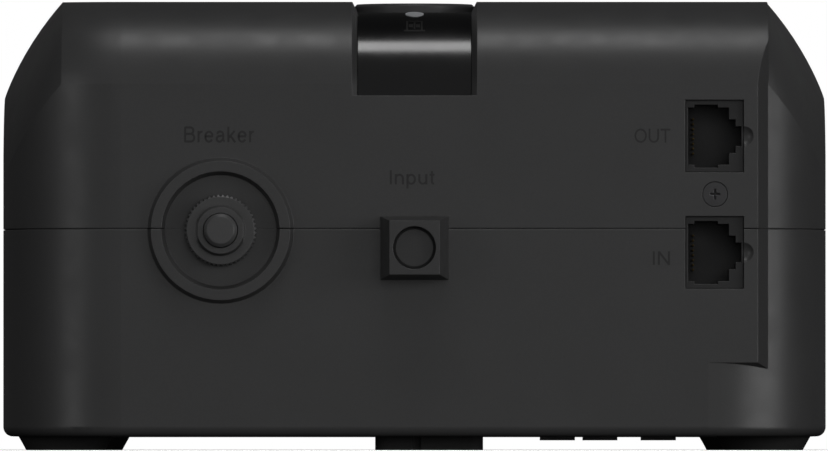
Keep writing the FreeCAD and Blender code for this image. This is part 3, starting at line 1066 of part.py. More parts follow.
def main_board():
    plate = box("main_plate", ("main_x_low", "main_x_high"), ("main_y_low", "main_y_high"), ("main_z", BOARD_TOP))
    corner = box("main_corner", ("main_x_low - 1", "main_x_low + 9"), ("main_y_low - 1", "main_y_low + 6"),
                 ("main_z - 1", BOARD_TOP + " + 1"))
    holes = [rod("main_hole_%d_%d" % (column, row), "1.7", "z", x, y, ("main_z - 1", BOARD_TOP + " + 1"))
             for column, x in enumerate(("main_x_low + 5", "main_x_high - 5"))
             for row, y in enumerate(("main_y_low + 14", "main_y_high - 5"))]
    post_hole = rod("main_post_hole", "post_r + 0.5", "z", "-post_x", FRONT + " + post_in_y",
                    ("main_z - 1", BOARD_TOP + " + 1"))
    sub_part(cut("main_board", plate, [corner, post_hole] + holes), "main_board")
    screws = []
    for column, x in enumerate(("main_x_low + 5", "main_x_high - 5")):
        for row, y in enumerate(("main_y_low + 14", "main_y_high - 5")):
            screws.append(rod("board_screw_%d_%d" % (column, row), "2.7", "z", x, y, (BOARD_TOP, BOARD_TOP + " + 2")))
    strap_screws = [rod("strap_screw_%d" % n, "3.2", "z", "core_x", y, ("core_z_low", "core_z_low + 2.4"))
                    for n, y in enumerate(("core_y - core_l / 2 - 7", "core_y + core_l / 2 + 7"))]
    low = "(board_top_z - board_thick)"
    heads = panel_rods("panel_screw_head", "2", (low + " - 1.3", low))
    shanks = panel_rods("panel_screw_shank", "panel_screw_r", (low + " - 0.5", low + " + 6"))
    panel = [fused("panel_screw_%d" % n, list(pair)) for n, pair in enumerate(zip(heads, shanks))]
    sub_part(group("inner_screws", screws + strap_screws + panel), "inner_screws")

    relays = [on_board("relay_%d" % n, x, y, "relay_w", "relay_l", "relay_h")
              for n, (x, y) in enumerate((("-52.5", "-86"), ("-68", "-70"), ("-68", "-50")))]
    sub_part(group("relays", relays), "relays")
    cans = [rod("can_%d" % n, "can_r", "z", "-72", y, (BOARD_TOP, BOARD_TOP + " + can_h"))
            for n, y in enumerate(("-32", "-18", "-4"))]
    sub_part(group("filter_capacitors", cans), "filter_capacitors")

    y = ("-30 - sink_l / 2", "-30 + sink_l / 2")
    plate = box("sink_plate", ("-52", "-52 + sink_thick"), y, (BOARD_TOP, BOARD_TOP + " + sink_h"))
    fins = [box("sink_fin_%d" % n, ("-52 - fin_out", "-52"), ("%s + %d * 6.5" % (y[0], n), "%s + %d * 6.5 + fin" % (y[0], n)),
                (BOARD_TOP, BOARD_TOP + " + sink_h")) for n in range(10)]
    sub_part(fused("sink", [plate] + fins), "heat_sink")
    face = "(-52 + sink_thick)"
    transistors = [box("transistor_%d" % n, (face, face + " + transistor_thick"),
                       ("%s + %d * 14.5 + 3" % (y[0], n), "%s + %d * 14.5 + 3 + transistor_w" % (y[0], n)),
                       (BOARD_TOP + " + 9", BOARD_TOP + " + 9 + transistor_h")) for n in range(4)]
    sub_part(group("power_transistors", transistors), "power_transistors")

    holder = on_board("fuse_base", "-27.5", "-6", "7", "fuse_l + 4", "3")
    ends = [on_board("fuse_clip_%d" % n, "-27.5", sign, "7", "4", "7") for n, sign in enumerate(
        ("(-6 - fuse_l / 2)", "(-6 + fuse_l / 2)"))]
    sub_part(fused("fuse_seat", [holder] + ends), "fuse_holder")
    clear = "(-6 - fuse_l / 2 + 2)", "(-6 + fuse_l / 2 - 2)"
    sub_part(rod("fuse_tube", "fuse_r - 0.6", "y", "-27.5", clear, BOARD_TOP + " + 5.2"), "main_fuse")
    discs = [rod("varistor_%d" % n, "varistor_r", "y", "-27", ("%s" % y0, "%s + varistor_thick" % y0),
                 BOARD_TOP + " + varistor_r") for n, y0 in enumerate(("-88", "-78", "-68"))]
    sub_part(group("varistors", discs), "varistors")
    outer = rod("choke_outer", "choke_r", "z", "-60", "13", (BOARD_TOP, BOARD_TOP + " + choke_thick"))
    eye = rod("choke_eye", "choke_hole_r", "z", "-60", "13", (BOARD_TOP + " - 1", BOARD_TOP + " + choke_thick + 1"))
    sub_part(cut("choke_ring", outer, [eye]), "choke_coil")
    chips = [on_board("chip_%d" % n, "-40", y0, "chip_w", "chip_l", "chip_h")
             for n, y0 in enumerate(("-84", "-62", "-4"))]
    sub_part(group("control_chips", chips), "control_chips")
    sub_part(rod("sounder", "buzzer_r", "z", "-38", "17", (BOARD_TOP, BOARD_TOP + " + buzzer_h")), "alarm_buzzer")
    headers = [on_board("header_%d" % n, "-26", y0, "8", "10", "5") for n, y0 in enumerate(("-104", "-48", "-30"))]
    sub_part(group("wire_headers", headers), "wire_headers")


# ---------------------------------------------------------------- internal wires

def wire(name, points):
    """A round wire on straight runs joined by tangent arcs, through points given as formulas."""
    spots = [Vector(*(size(value) for value in point)) for point in points]
    edges, at = [], spots[0]
    bend = size("wire_bend")
    for before, corner, after in zip(spots, spots[1:], spots[2:]):
        back, ahead = (before - corner), (after - corner)
        turn = math.pi - back.getAngle(ahead)
        reach = min(bend * math.tan(turn / 2), 0.45 * min(back.Length, ahead.Length))
        radius = reach / math.tan(turn / 2)
        back.normalize()
        ahead.normalize()
        start, end = corner + back * reach, corner + ahead * reach
        middle_way = (back + ahead).normalize()
        middle = corner + middle_way * (math.hypot(radius, reach) - radius)
        if (start - at).Length > 1e-6:
            edges.append(Part.LineSegment(at, start).toShape())
        edges.append(Part.Arc(start, middle, end).toShape())
        at = end
    edges.append(Part.LineSegment(at, spots[-1]).toShape())
    path = Part.Wire(edges)
    circle = Part.Wire([Part.makeCircle(size("wire_r"), spots[0], spots[1] - spots[0])])
    tube = path.makePipeShell([circle], True, False)
    expected = math.pi * size("wire_r") ** 2 * path.Length
    if abs(tube.Volume - expected) > 0.02 * expected:
        raise RuntimeError("wire %s has volume %.1f, not %.1f" % (name, tube.Volume, expected))
    return feature(name, tube)


def wires():
    header_z = BOARD_TOP + " + 5"
    tip = "cell_x_low - terminal_l - 1.6"
    first, last = terminal_places()
    red = wire("red_lead", [(tip, last, "terminal_z"), (tip + " - 3", last, "terminal_z + 3"), ("-23", "64", "67"),
                            ("-23", "10", "67"), ("-26", "-30", "60"), ("-26", "-30", header_z)])
    sub_part(red, "battery_lead_red")
    black = wire("black_lead", [(tip, first, "terminal_z"), (tip + " - 3", first, "terminal_z - 3"),
                                ("-26", "-48", "44"), ("-26", "-48", header_z)])
    sub_part(black, "battery_lead_black")
    inner = END_INNER + " + gland_flange_thick + 1"
    tab_y = "%s + recess_back + breaker_l + tab_l - wall + 3" % END_INNER
    line = wire("line_lead", [("-2", inner, "gland_z + 3"), ("-3", inner + " + 14", "gland_z + 5"),
                              ("-20", tab_y + " + 4", "breaker_z + breaker_tab_z"),
                              ("breaker_x", tab_y + " + 4", "breaker_z + breaker_tab_z"),
                              ("breaker_x", tab_y, "breaker_z + breaker_tab_z")])
    neutral = wire("neutral_lead", [("2", inner, "gland_z - 3"), ("1", inner + " + 12", "gland_z - 6"),
                                    ("-14", "-104", "26"), ("-26", "-104", "24"), ("-26", "-104", header_z)])
    sub_part(group("leads", [line, neutral]), "input_leads")


# ---------------------------------------------------------------- assembly

housing()
strip_and_lens()
button()
breaker()
gland()
data_ports()
outlets()
feet()
battery_door()
housing_screws()
battery()
transformer()
main_board()
wires()

doc.recompute()

faulty = [item.Name for item in doc.Objects if any(word in item.State for word in ("Invalid", "Error"))]
if faulty:
    raise RuntimeError("failed objects: %s" % faulty)
for item in PARTS:
    if item.Shape.isNull() or not item.Shape.isValid() or not item.Shape.Solids:
        raise RuntimeError("bad shape: " + item.Label)
for item in PARTS:
    item.Shape.exportStep("parts/%s.step" % item.Label)
    print("%-24s %2d solids %10.1f mm3" % (item.Label, len(item.Shape.Solids), item.Shape.Volume))
print(len(PARTS), "sub-parts")
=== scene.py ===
"""Looks of the desktop uninterruptible power supply: materials, printed marks, small trim, light and camera.

Metres, in the CAD's own frame: +Z up, the end with the connections faces -Y."""

import math

import bmesh
import bpy
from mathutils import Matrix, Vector


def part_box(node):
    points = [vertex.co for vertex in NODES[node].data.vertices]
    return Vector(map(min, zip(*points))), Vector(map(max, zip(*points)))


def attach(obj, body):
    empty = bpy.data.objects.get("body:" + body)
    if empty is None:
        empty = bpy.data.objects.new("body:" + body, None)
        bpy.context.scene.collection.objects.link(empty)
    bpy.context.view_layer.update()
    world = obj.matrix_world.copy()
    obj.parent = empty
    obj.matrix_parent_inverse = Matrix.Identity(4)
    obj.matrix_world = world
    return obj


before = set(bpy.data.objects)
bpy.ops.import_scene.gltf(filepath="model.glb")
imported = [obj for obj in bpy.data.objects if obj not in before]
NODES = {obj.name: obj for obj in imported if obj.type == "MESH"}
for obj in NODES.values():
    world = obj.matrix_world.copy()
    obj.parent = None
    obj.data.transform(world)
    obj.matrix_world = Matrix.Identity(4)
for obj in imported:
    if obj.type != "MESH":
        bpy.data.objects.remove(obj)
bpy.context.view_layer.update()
MM = 0.001
GLAND_OUT = 10 * MM                                   # how far the cord gland stands out of the end face
GLAND_Z = 42 * MM                                     # height of the cord inlet's middle
INLET_DEEP = 2.4 * MM                                 # depth of the cord inlet's mouth
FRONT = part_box("cord_gland")[0].y + GLAND_OUT         # the flat end face
ARCH_Z, ARCH_Y = 73.75 * MM, FRONT + 19.85 * MM       # centre line of the round over the front end
STRIP_R = 17.7 * MM                                   # radius of the glossy strip about that line
PICTURE_WIDE = 172.638 * MM                           # how much of the end the picture takes in, side to side


# ---------------------------------------------------------------- shader building blocks

class Shader:
    """A material with a Principled shader, and short calls that add the nodes feeding it."""

    def __init__(self, name, colour, roughness, **fixed):
        self.material = bpy.data.materials.new(name)
        self.material.use_nodes = True
        self.tree = self.material.node_tree
        self.surface = self.tree.nodes["Principled BSDF"]
        self.material.diffuse_color = (*colour[:3], 1)
        self.colour, self.rough = colour, roughness
        self.surface.inputs["Base Color"].default_value = (*colour[:3], 1)
        self.surface.inputs["Roughness"].default_value = roughness
        for socket, value in fixed.items():
            self.surface.inputs[socket.replace("_", " ")].default_value = value
        self.place = self.node("ShaderNodeTexCoord").outputs["Object"]

    def node(self, kind, **settings):
        made = self.tree.nodes.new(kind)
        for key, value in settings.items():
            setattr(made, key, value)
        return made

    def link(self, source, target):
        self.tree.links.new(source, target)

    def noise(self, size, detail=2.0, stretch=(1, 1, 1)):
        """Noise whose grains are about size metres across, finer along an axis with more stretch."""
        mapping = self.node("ShaderNodeMapping")
        mapping.inputs["Scale"].default_value = stretch
        self.link(self.place, mapping.inputs["Vector"])
        made = self.node("ShaderNodeTexNoise")
        made.inputs["Scale"].default_value = 1 / size
        made.inputs["Detail"].default_value = detail
        self.link(mapping.outputs["Vector"], made.inputs["Vector"])
        return made.outputs["Fac"]

    def cells(self, size):
        """Distance to the nearest of scattered points about size metres apart."""
        made = self.node("ShaderNodeTexVoronoi")
        made.inputs["Scale"].default_value = 1 / size
        self.link(self.place, made.inputs["Vector"])
        return made.outputs["Distance"]

    def waves(self, pitch, axis, shape="SIN"):
        """Ridges across an axis, pitch metres apart."""
        made = self.node("ShaderNodeTexWave", wave_type="BANDS", bands_direction=axis, wave_profile=shape)
        made.inputs["Scale"].default_value = math.pi / (10 * pitch)
        self.link(self.place, made.inputs["Vector"])
        return made.outputs["Fac"]

    def ranged(self, value, low, high, to_low, to_high):
        """Value from low to high, mapped to run from to_low to to_high and held there."""
        made = self.node("ShaderNodeMapRange")
        for socket, number in zip(("From Min", "From Max", "To Min", "To Max"), (low, high, to_low, to_high)):
            made.inputs[socket].default_value = number
        self.link(value, made.inputs["Value"])
        return made.outputs["Result"]

    def edges(self, radius):
        """1 along the piece's outer edges, 0 elsewhere."""
        bevel = self.node("ShaderNodeBevel", samples=4)
        bevel.inputs["Radius"].default_value = radius
        dot = self.node("ShaderNodeVectorMath", operation="DOT_PRODUCT")
        self.link(bevel.outputs["Normal"], dot.inputs[0])
        self.link(self.node("ShaderNodeNewGeometry").outputs["Normal"], dot.inputs[1])
        return self.ranged(dot.outputs["Value"], 0.99, 0.8, 0.0, 1.0)

    def tinted(self, factor, colour):
        """Mixes a colour over what feeds the base colour so far."""
        mix = self.node("ShaderNodeMix", data_type="RGBA")
        base = self.surface.inputs["Base Color"]
        if base.is_linked:
            self.link(base.links[0].from_socket, mix.inputs["A"])
        else:
            mix.inputs["A"].default_value = base.default_value
        mix.inputs["B"].default_value = (*colour[:3], 1)
        self.link(factor, mix.inputs["Factor"])
        self.link(mix.outputs["Result"], base)

    def roughened(self, factor, spread):
        """Roughness that varies by spread each way as factor goes from 0.3 to 0.7."""
        self.link(self.ranged(factor, 0.3, 0.7, self.rough - spread, self.rough + spread),
                  self.surface.inputs["Roughness"])

    def bumped(self, height, depth, rounding=0.0):
        """Adds relief of that depth in metres. The first call may also round the piece's edges."""
        bump = self.node("ShaderNodeBump")
        bump.inputs["Distance"].default_value = depth
        bump.inputs["Strength"].default_value = 1.0
        self.link(height, bump.inputs["Height"])
        normal = self.surface.inputs["Normal"]
        if normal.is_linked:
            self.link(normal.links[0].from_socket, bump.inputs["Normal"])
        elif rounding:
            bevel = self.node("ShaderNodeBevel", samples=4)
            bevel.inputs["Radius"].default_value = rounding
            self.link(bevel.outputs["Normal"], bump.inputs["Normal"])
        self.link(bump.outputs["Normal"], normal)


def lighter(colour, factor):
    return tuple(min(1.0, part * factor) for part in colour[:3])


def moulded(name, colour, roughness, grain=0.35 * MM, depth=0.010 * MM, rounding=0.25 * MM, edge_highlight=0.35):
    """Moulded plastic: spark-eroded grain, faint cloudiness, uneven sheen and a painted highlight, the edges
    painted lighter.
    """
    made = Shader(name, colour, roughness)
    cloud, fine = made.noise(22 * MM, 3), made.noise(grain, 3)
    made.tinted(made.ranged(cloud, 0.3, 0.7, 0.0, 0.5), lighter(colour, 0.86))
    made.tinted(made.ranged(fine, 0.35, 0.75, 0.0, 0.35), lighter(colour, 1.22))
    # painted highlight: the colour along the edges is mixed towards a lighter tone, by up to this factor
    if edge_highlight:
        made.tinted(made.ranged(made.edges(0.35 * MM), 0, 1, 0.0, edge_highlight), lighter(colour, 1.9))
    made.roughened(made.noise(6 * MM, 4), 0.045)
    made.bumped(made.noise(grain, 4), depth, rounding=rounding)
    made.bumped(made.cells(grain * 1.6), depth * 0.5)
    return made


def metal(name, colour, roughness, brushed=None):
    """Bare or plated metal with fine scratches, along an axis if brushed names one."""
    made = Shader(name, colour, roughness, Metallic=1.0)
    stretch = {"x": (0.06, 1, 1), "y": (1, 0.06, 1), "z": (1, 1, 0.06), None: (1, 1, 1)}[brushed]
    scratch = made.noise(0.25 * MM, 4, stretch)
    made.tinted(made.ranged(made.noise(5 * MM, 3), 0.35, 0.75, 0.0, 0.45), lighter(colour, 0.72))
    made.roughened(scratch, 0.09)
    made.bumped(scratch, 0.006 * MM, rounding=0.15 * MM)
    return made


# ---------------------------------------------------------------- materials of the CAD nodes

def paint(made, *names):
    """Gives a material to CAD nodes or pieces."""
    for name in names:
        item = NODES[name] if isinstance(name, str) else name
        item.data.materials.clear()
        item.data.materials.append(made.material)


CASE = (0.050, 0.050, 0.0505)
INNER = (0.04, 0.04, 0.041)
OUTLETS = ["outlet_%s_%d" % (side, number) for side in ("left", "right") for number in range(1, 5)]

paint(moulded("case_plastic", CASE, 0.38, depth=0.006 * MM), "upper_shell", "lower_shell")
paint(moulded("door_plastic", CASE, 0.42, depth=0.009 * MM), "battery_door")
paint(moulded("outlet_plastic", (0.062, 0.062, 0.063), 0.36, grain=0.6 * MM, depth=0.004 * MM), *OUTLETS)
paint(moulded("gland_plastic", (0.048, 0.048, 0.0485), 0.42, depth=0.006 * MM), "cord_gland")
paint(moulded("jack_plastic", (0.028, 0.028, 0.0285), 0.48, grain=0.5 * MM), "data_jack_out", "data_jack_in")
paint(moulded("bezel_plastic", (0.05, 0.05, 0.051), 0.34, depth=0.003 * MM), "button_bezel")
paint(moulded("button_plastic", (0.04, 0.04, 0.041), 0.34, depth=0.004 * MM), "power_button")
paint(moulded("breaker_body_plastic", INNER, 0.5), "breaker_case", "jack_bracket")
paint(moulded("nut_plastic", (0.058, 0.058, 0.0585), 0.36, rounding=0.06 * MM), "breaker_nut")
paint(moulded("reset_plastic", (0.066, 0.066, 0.067), 0.36, rounding=0.4 * MM), "breaker_reset_button")
paint(moulded("switch_plastic", INNER, 0.45),
      "power_switch", "alarm_buzzer", "power_transistors", "control_chips")

thread = moulded("bushing_plastic", (0.058, 0.058, 0.0585), 0.36, rounding=0.12 * MM)
thread.bumped(thread.waves(1.0 * MM, "Y"), 0.22 * MM)
paint(thread, "breaker_bushing")

gloss = Shader("strip_gloss", (0.003, 0.003, 0.0033), 0.2, Specular_IOR_Level=0.9)
gloss.roughened(gloss.noise(9 * MM, 4, (1, 0.15, 1)), 0.03)
gloss.bumped(gloss.noise(14 * MM, 2), 0.004 * MM, rounding=0.2 * MM)
paint(gloss, "indicator_strip")

lens = Shader("lens_frosted", (0.42, 0.43, 0.45), 0.38, Transmission_Weight=0.25, IOR=1.49)
lens.tinted(lens.ranged(lens.noise(1.2 * MM, 3), 0.3, 0.7, 0.0, 0.5), (0.55, 0.56, 0.58))
lens.bumped(lens.noise(0.2 * MM, 3), 0.006 * MM, rounding=0.2 * MM)
paint(lens, "status_lens")

led = Shader("led_clear", (0.75, 0.85, 0.78), 0.12, Transmission_Weight=0.6, IOR=1.5)
led.bumped(led.noise(0.8 * MM, 2), 0.01 * MM)
paint(led, "status_led")

paint(moulded("foot_rubber", (0.020, 0.020, 0.020), 0.72,
              grain=0.5 * MM, depth=0.02 * MM, rounding=0.3 * MM, edge_highlight=0.15), "rubber_feet", "centre_foot")

paint(metal("screw_black", (0.20, 0.20, 0.205), 0.5), "jack_screw")
paint(metal("screw_zinc", (0.60, 0.60, 0.57), 0.32), "housing_screws", "inner_screws")
paint(metal("clip_brass", (0.78, 0.56, 0.26), 0.30, brushed="z"), "outlet_clips", "earth_clips")
paint(metal("bar_brass", (0.76, 0.54, 0.25), 0.33, brushed="y"), "bus_bars")
# painted shade: the contacts' gold is darkened to a deep brown for the shade inside the jacks
paint(metal("contact_gold_painted_shade", (0.15, 0.105, 0.04), 0.4), "jack_contacts")
paint(metal("tab_tin", (0.70, 0.69, 0.66), 0.33, brushed="x"), "breaker_tabs", "battery_terminals")
paint(metal("strap_zinc", (0.58, 0.58, 0.56), 0.36, brushed="y"), "transformer_strap")
paint(metal("sink_aluminium", (0.62, 0.63, 0.65), 0.34, brushed="z"), "heat_sink")


def circuit(name, node):
    """A green board: tracks under the solder mask, a weave in the laminate and a grid of tinned pads."""
    made = Shader(name, (0.012, 0.085, 0.035), 0.32, Coat_Weight=0.3, Coat_Roughness=0.15)
    tracks = made.ranged(made.waves(2.3 * MM, "X"), 0.62, 0.66, 0.0, 1.0)
    broken = made.ranged(made.noise(11 * MM, 2), 0.50, 0.53, 0.0, 1.0)
    both = made.node("ShaderNodeMath", operation="MULTIPLY")
    made.link(tracks, both.inputs[0])
    made.link(broken, both.inputs[1])
    made.tinted(both.outputs["Value"], (0.03, 0.16, 0.06))
    pads = made.ranged(made.cells(5.2 * MM), 0.13, 0.11, 0.0, 1.0)
    made.tinted(pads, (0.55, 0.55, 0.52))
    made.bumped(both.outputs["Value"], 0.03 * MM, rounding=0.1 * MM)
    made.bumped(made.noise(0.5 * MM, 2), 0.006 * MM)
    paint(made, node)


for board in ("main_board", "indicator_board", "surge_board"):
    circuit(board + "_laminate", board)

core = metal("core_steel", (0.17, 0.18, 0.20), 0.45)
core.bumped(core.waves(0.5 * MM, "X", "TRI"), 0.12 * MM)
core.tinted(core.ranged(core.noise(9 * MM, 4), 0.45, 0.75, 0.0, 0.7), (0.10, 0.05, 0.02))
paint(core, "transformer_core")

tape = moulded("winding_tape", (0.78, 0.52, 0.06), 0.35, grain=1.2 * MM, depth=0.03 * MM)
tape.bumped(tape.waves(4.2 * MM, "Z", "SAW"), 0.15 * MM)
paint(tape, "transformer_winding")
paint(moulded("bobbin_nylon", (0.72, 0.69, 0.58), 0.4), "transformer_bobbin", "wire_headers")
paint(moulded("battery_grey", (0.22, 0.23, 0.25), 0.46, grain=0.8 * MM, depth=0.03 * MM), "battery_case")
paint(moulded("battery_lid_grey", (0.06, 0.06, 0.065), 0.44, grain=0.8 * MM, depth=0.02 * MM), "battery_lid")
paint(moulded("relay_blue", (0.02, 0.08, 0.30), 0.33, depth=0.003 * MM), "relays")
paint(moulded("fuse_block", INNER, 0.4), "fuse_holder")
paint(moulded("varistor_lacquer", (0.05, 0.13, 0.36), 0.3, grain=0.9 * MM, depth=0.03 * MM), "varistors")
paint(moulded("arrester_ceramic", (0.72, 0.26, 0.05), 0.35, grain=0.7 * MM, depth=0.02 * MM),
      "surge_arresters")

sleeve = Shader("can_sleeve", (0.012, 0.016, 0.05), 0.28, Coat_Weight=0.4, Coat_Roughness=0.1)
sleeve.tinted(sleeve.ranged(sleeve.waves(13 * MM, "Y"), 0.93, 0.95, 0.0, 1.0), (0.45, 0.45, 0.43))
sleeve.bumped(sleeve.noise(3 * MM, 3), 0.03 * MM, rounding=0.5 * MM)
paint(sleeve, "filter_capacitors")

glass = Shader("fuse_glass", (0.9, 0.92, 0.93), 0.04, Transmission_Weight=0.9, IOR=1.5)
glass.bumped(glass.noise(4 * MM, 2), 0.01 * MM)
paint(glass, "main_fuse")

copper = metal("choke_copper", (0.62, 0.24, 0.08), 0.26)
copper.bumped(copper.waves(1.1 * MM, "X"), 0.2 * MM)
paint(copper, "choke_coil")

for colour_name, node, colour in (("red", "battery_lead_red", (0.40, 0.012, 0.012)),
                                  ("black", "battery_lead_black", (0.018, 0.018, 0.018)),
                                  ("grey", "input_leads", (0.03, 0.03, 0.03))):
    paint(moulded("wire_" + colour_name, colour, 0.36,
                  grain=0.5 * MM, depth=0.01 * MM, rounding=0, edge_highlight=0), node)


# ---------------------------------------------------------------- pieces made here

def piece(name, shape, made):
    """Turns a bmesh into a painted piece that rides the housing."""
    mesh = bpy.data.meshes.new(name)
    shape.to_mesh(mesh)
    shape.free()
    item = bpy.data.objects.new(name, mesh)
    bpy.context.scene.collection.objects.link(item)
    paint(made, item)
    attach(item, "housing")


def arc(middle, radii, start, stop, steps=10):
    """Points of an ellipse's arc, between two angles in degrees."""
    angles = [math.radians(start + (stop - start) * step / steps) for step in range(steps + 1)]
    return [(middle[0] + radii[0] * math.cos(a), middle[1] + radii[1] * math.sin(a)) for a in angles]


# Each letter is its advance and the centre lines of its strokes. The unit is a capital's height, and printed()
# then stretches the width to fit.
LETTERS = {
    "B": (0.93, [[(0.17, 0), (0.17, 1)],
                 [(0.17, 0.95)] + arc((0.53, 0.745), (0.20, 0.205), 90, -90) + [(0.17, 0.54)],
                 [(0.17, 0.05)] + arc((0.57, 0.295), (0.22, 0.245), -90, 90) + [(0.17, 0.54)]]),
    "r": (0.47, [[(0.15, 0), (0.15, 0.73)], arc((0.38, 0.43), (0.23, 0.25), 180, 80)]),
    "e": (0.78, [[(0.14, 0.38)] + arc((0.39, 0.36), (0.25, 0.32), 4, 325, 20)]),
    "a": (0.78, [arc((0.37, 0.49), (0.21, 0.20), 165, 0) + [(0.58, 0.14), (0.68, 0.05)],
                 [(0.58, 0.44)] + arc((0.33, 0.22), (0.19, 0.18), 85, 290, 14) + [(0.58, 0.2)]]),
    "k": (0.70, [[(0.15, 0), (0.15, 1)], [(0.15, 0.27), (0.58, 0.73)], [(0.29, 0.42), (0.62, 0)]]),
    "I": (0.36, [[(0.18, 0), (0.18, 1)]]),
    "n": (0.77, [[(0.15, 0), (0.15, 0.73)], arc((0.385, 0.44), (0.235, 0.24), 180, 0) + [(0.62, 0)]]),
    "p": (0.78, [[(0.15, -0.29), (0.15, 0.73)], arc((0.395, 0.36), (0.245, 0.32), 180, -180, 20)]),
    "u": (0.77, [[(0.15, 0.73)] + arc((0.38, 0.29), (0.23, 0.24), 180, 360), [(0.61, 0), (0.61, 0.73)]]),
    "t": (0.42, [[(0.21, 0.94)] + arc((0.33, 0.17), (0.12, 0.12), 180, 285, 6),
                 [(0.05, 0.68), (0.38, 0.68)]]),
    "O": (1.08, [arc((0.54, 0.5), (0.42, 0.455), 0, 360, 28)]),
    "U": (1.00, [[(0.16, 1)] + arc((0.50, 0.38), (0.34, 0.335), 180, 360, 14) + [(0.84, 1)]]),
    "T": (0.84, [[(0.03, 0.945), (0.81, 0.945)], [(0.42, 0), (0.42, 0.945)]]),
    "N": (1.00, [[(0.16, 0), (0.16, 1)], [(0.17, 0.97), (0.83, 0.03)], [(0.84, 0), (0.84, 1)]]),
}


def ribbon(shape, line, width, place_at):
    """Adds a flat stroke of that width along a line of (x, y) points; place_at turns (x, y) into a place."""
    pairs = []
    for number, point in enumerate(line):
        before, after = line[max(number - 1, 0)], line[min(number + 1, len(line) - 1)]
        if number in (0, len(line) - 1) and line[0] == line[-1]:
            before, after = line[-2], line[1]
        along = Vector((after[0] - before[0], after[1] - before[1])).normalized()
        side = Vector((-along.y, along.x)) * width / 2
        pairs.append([shape.verts.new(place_at(point[0] + sign * side.x, point[1] + sign * side.y))
                      for sign in (1, -1)])
    for (one, two), (three, four) in zip(pairs, pairs[1:]):
        shape.faces.new((one, two, four, three))


STROKE = 0.135                                        # width of a stroke, in capital heights
LAYER = 0.012 * MM                                    # each stroke stands this far in front of the last


def printed(name, words, x, low, tall, made):
    """Words printed on the flat end face between two x, their capitals that tall above low."""
    shape = bmesh.new()
    total = sum(LETTERS[letter][0] for letter in words)
    wide, start = (x[1] - x[0]) / total, 0.0
    for letter in words:
        advance, lines = LETTERS[letter]
        for layer, line in enumerate(lines, start=1):
            ribbon(shape, line, STROKE,
                   lambda u, v: (x[0] + (start + u) * wide, FRONT - layer * LAYER, low + v * tall))
        start += advance
    bmesh.ops.recalc_face_normals(shape, faces=shape.faces)
    for face in shape.faces:
        if face.normal.y > 0:
            face.normal_flip()
    piece(name, shape, made)


ink = Shader("mark_ink", (0.024, 0.024, 0.0245), 0.5)
ink.tinted(ink.ranged(ink.noise(0.4 * MM, 3), 0.4, 0.8, 0.0, 0.5), (0.03, 0.03, 0.03))
ink.bumped(ink.noise(0.25 * MM, 3), 0.01 * MM)
printed("mark_breaker", "Breaker", (-48.2 * MM, -33.2 * MM), 64.0 * MM, 3.25 * MM, ink)
printed("mark_input", "Input", (-5.5 * MM, 4.3 * MM), 55.25 * MM, 2.95 * MM, ink)
printed("mark_out", "OUT", (45.6 * MM, 53.3 * MM), 63.95 * MM, 2.85 * MM, ink)
printed("mark_in", "IN", (49.2 * MM, 53.4 * MM), 38.5 * MM, 2.85 * MM, ink)


def turned(name, section, centre, made, steps=64):
    """A ring turned about a line along Y through centre, from (radius, distance along it) points."""
    shape = bmesh.new()
    rings = []
    for radius, along in section:
        ring = []
        for step in range(steps):
            angle = math.tau * step / steps
            spot = Vector((radius * math.cos(angle), along, radius * math.sin(angle)))
            ring.append(shape.verts.new(Vector(centre) + spot))
        rings.append(ring)
    for one, two in zip(rings, rings[1:] + rings[:1]):
        for step in range(steps):
            after = (step + 1) % steps
            shape.faces.new((one[step], one[after], two[after], two[step]))
    bmesh.ops.recalc_face_normals(shape, faces=shape.faces)
    piece(name, shape, made)


# painted shade: a near-black ring stands in for the shaded gap round the bottom of the cord inlet's mouth
shade_ring = moulded("shade_ring_black", (0.010, 0.010, 0.010), 0.6, grain=0.5 * MM, depth=0.01 * MM, rounding=0, edge_highlight=0)

# The section of a near-black ring at the bottom of the cord inlet's mouth, painted shade for the dark gap
# there, as (radius, distance along Y) in mm.
SHADE_RING_SECTION = [(3.86, -0.02), (3.98, -0.34), (4.36, -0.34), (4.43, -0.02)]
turned("cord_shade_ring", [(radius * MM, along * MM) for radius, along in SHADE_RING_SECTION],
       (0, FRONT - GLAND_OUT + INLET_DEEP, GLAND_Z), shade_ring)


strip_ink = Shader("strip_ink", (0.0012, 0.0012, 0.0012), 0.6)
strip_ink.tinted(strip_ink.ranged(strip_ink.noise(0.5 * MM, 3), 0.4, 0.8, 0.0, 0.5), (0.002, 0.002, 0.002))
strip_ink.bumped(strip_ink.noise(0.3 * MM, 2), 0.004 * MM)

# The bars of the battery's outline, each from one x to another in millimetres and from one angle to another
# in degrees above the level through the round's centre line.
BATTERY_BARS = [
    ((-2.2, 2.2), (49.5, 51.3)),         # base
    ((-1.7, -1.35), (51.3, 61.6)),       # sides
    ((1.35, 1.7), (51.3, 61.6)),
    ((-1.7, 1.7), (61.6, 62.9)),         # top
    ((-0.18, 0.18), (52.5, 60.6)),       # middle
    ((-1.2, -0.3), (54.1, 58.1)),        # cells
    ((0.3, 1.2), (54.1, 58.1)),
]


def battery_mark(steps=6):
    """The outline of a battery on the glossy strip, under the lens."""
    shape = bmesh.new()

    def on_strip(x, up):
        angle, radius = math.radians(up), STRIP_R + 0.02 * MM
        return x * MM, ARCH_Y - radius * math.cos(angle), ARCH_Z + radius * math.sin(angle)

    for x, up in BATTERY_BARS:
        rows = [[shape.verts.new(on_strip(side, up[0] + (up[1] - up[0]) * step / steps)) for side in x]
                for step in range(steps + 1)]
        for one, two in zip(rows, rows[1:]):
            shape.faces.new((one[0], one[1], two[1], two[0]))
    piece("mark_battery", shape, strip_ink)


battery_mark()


# ---------------------------------------------------------------- floor, light, camera

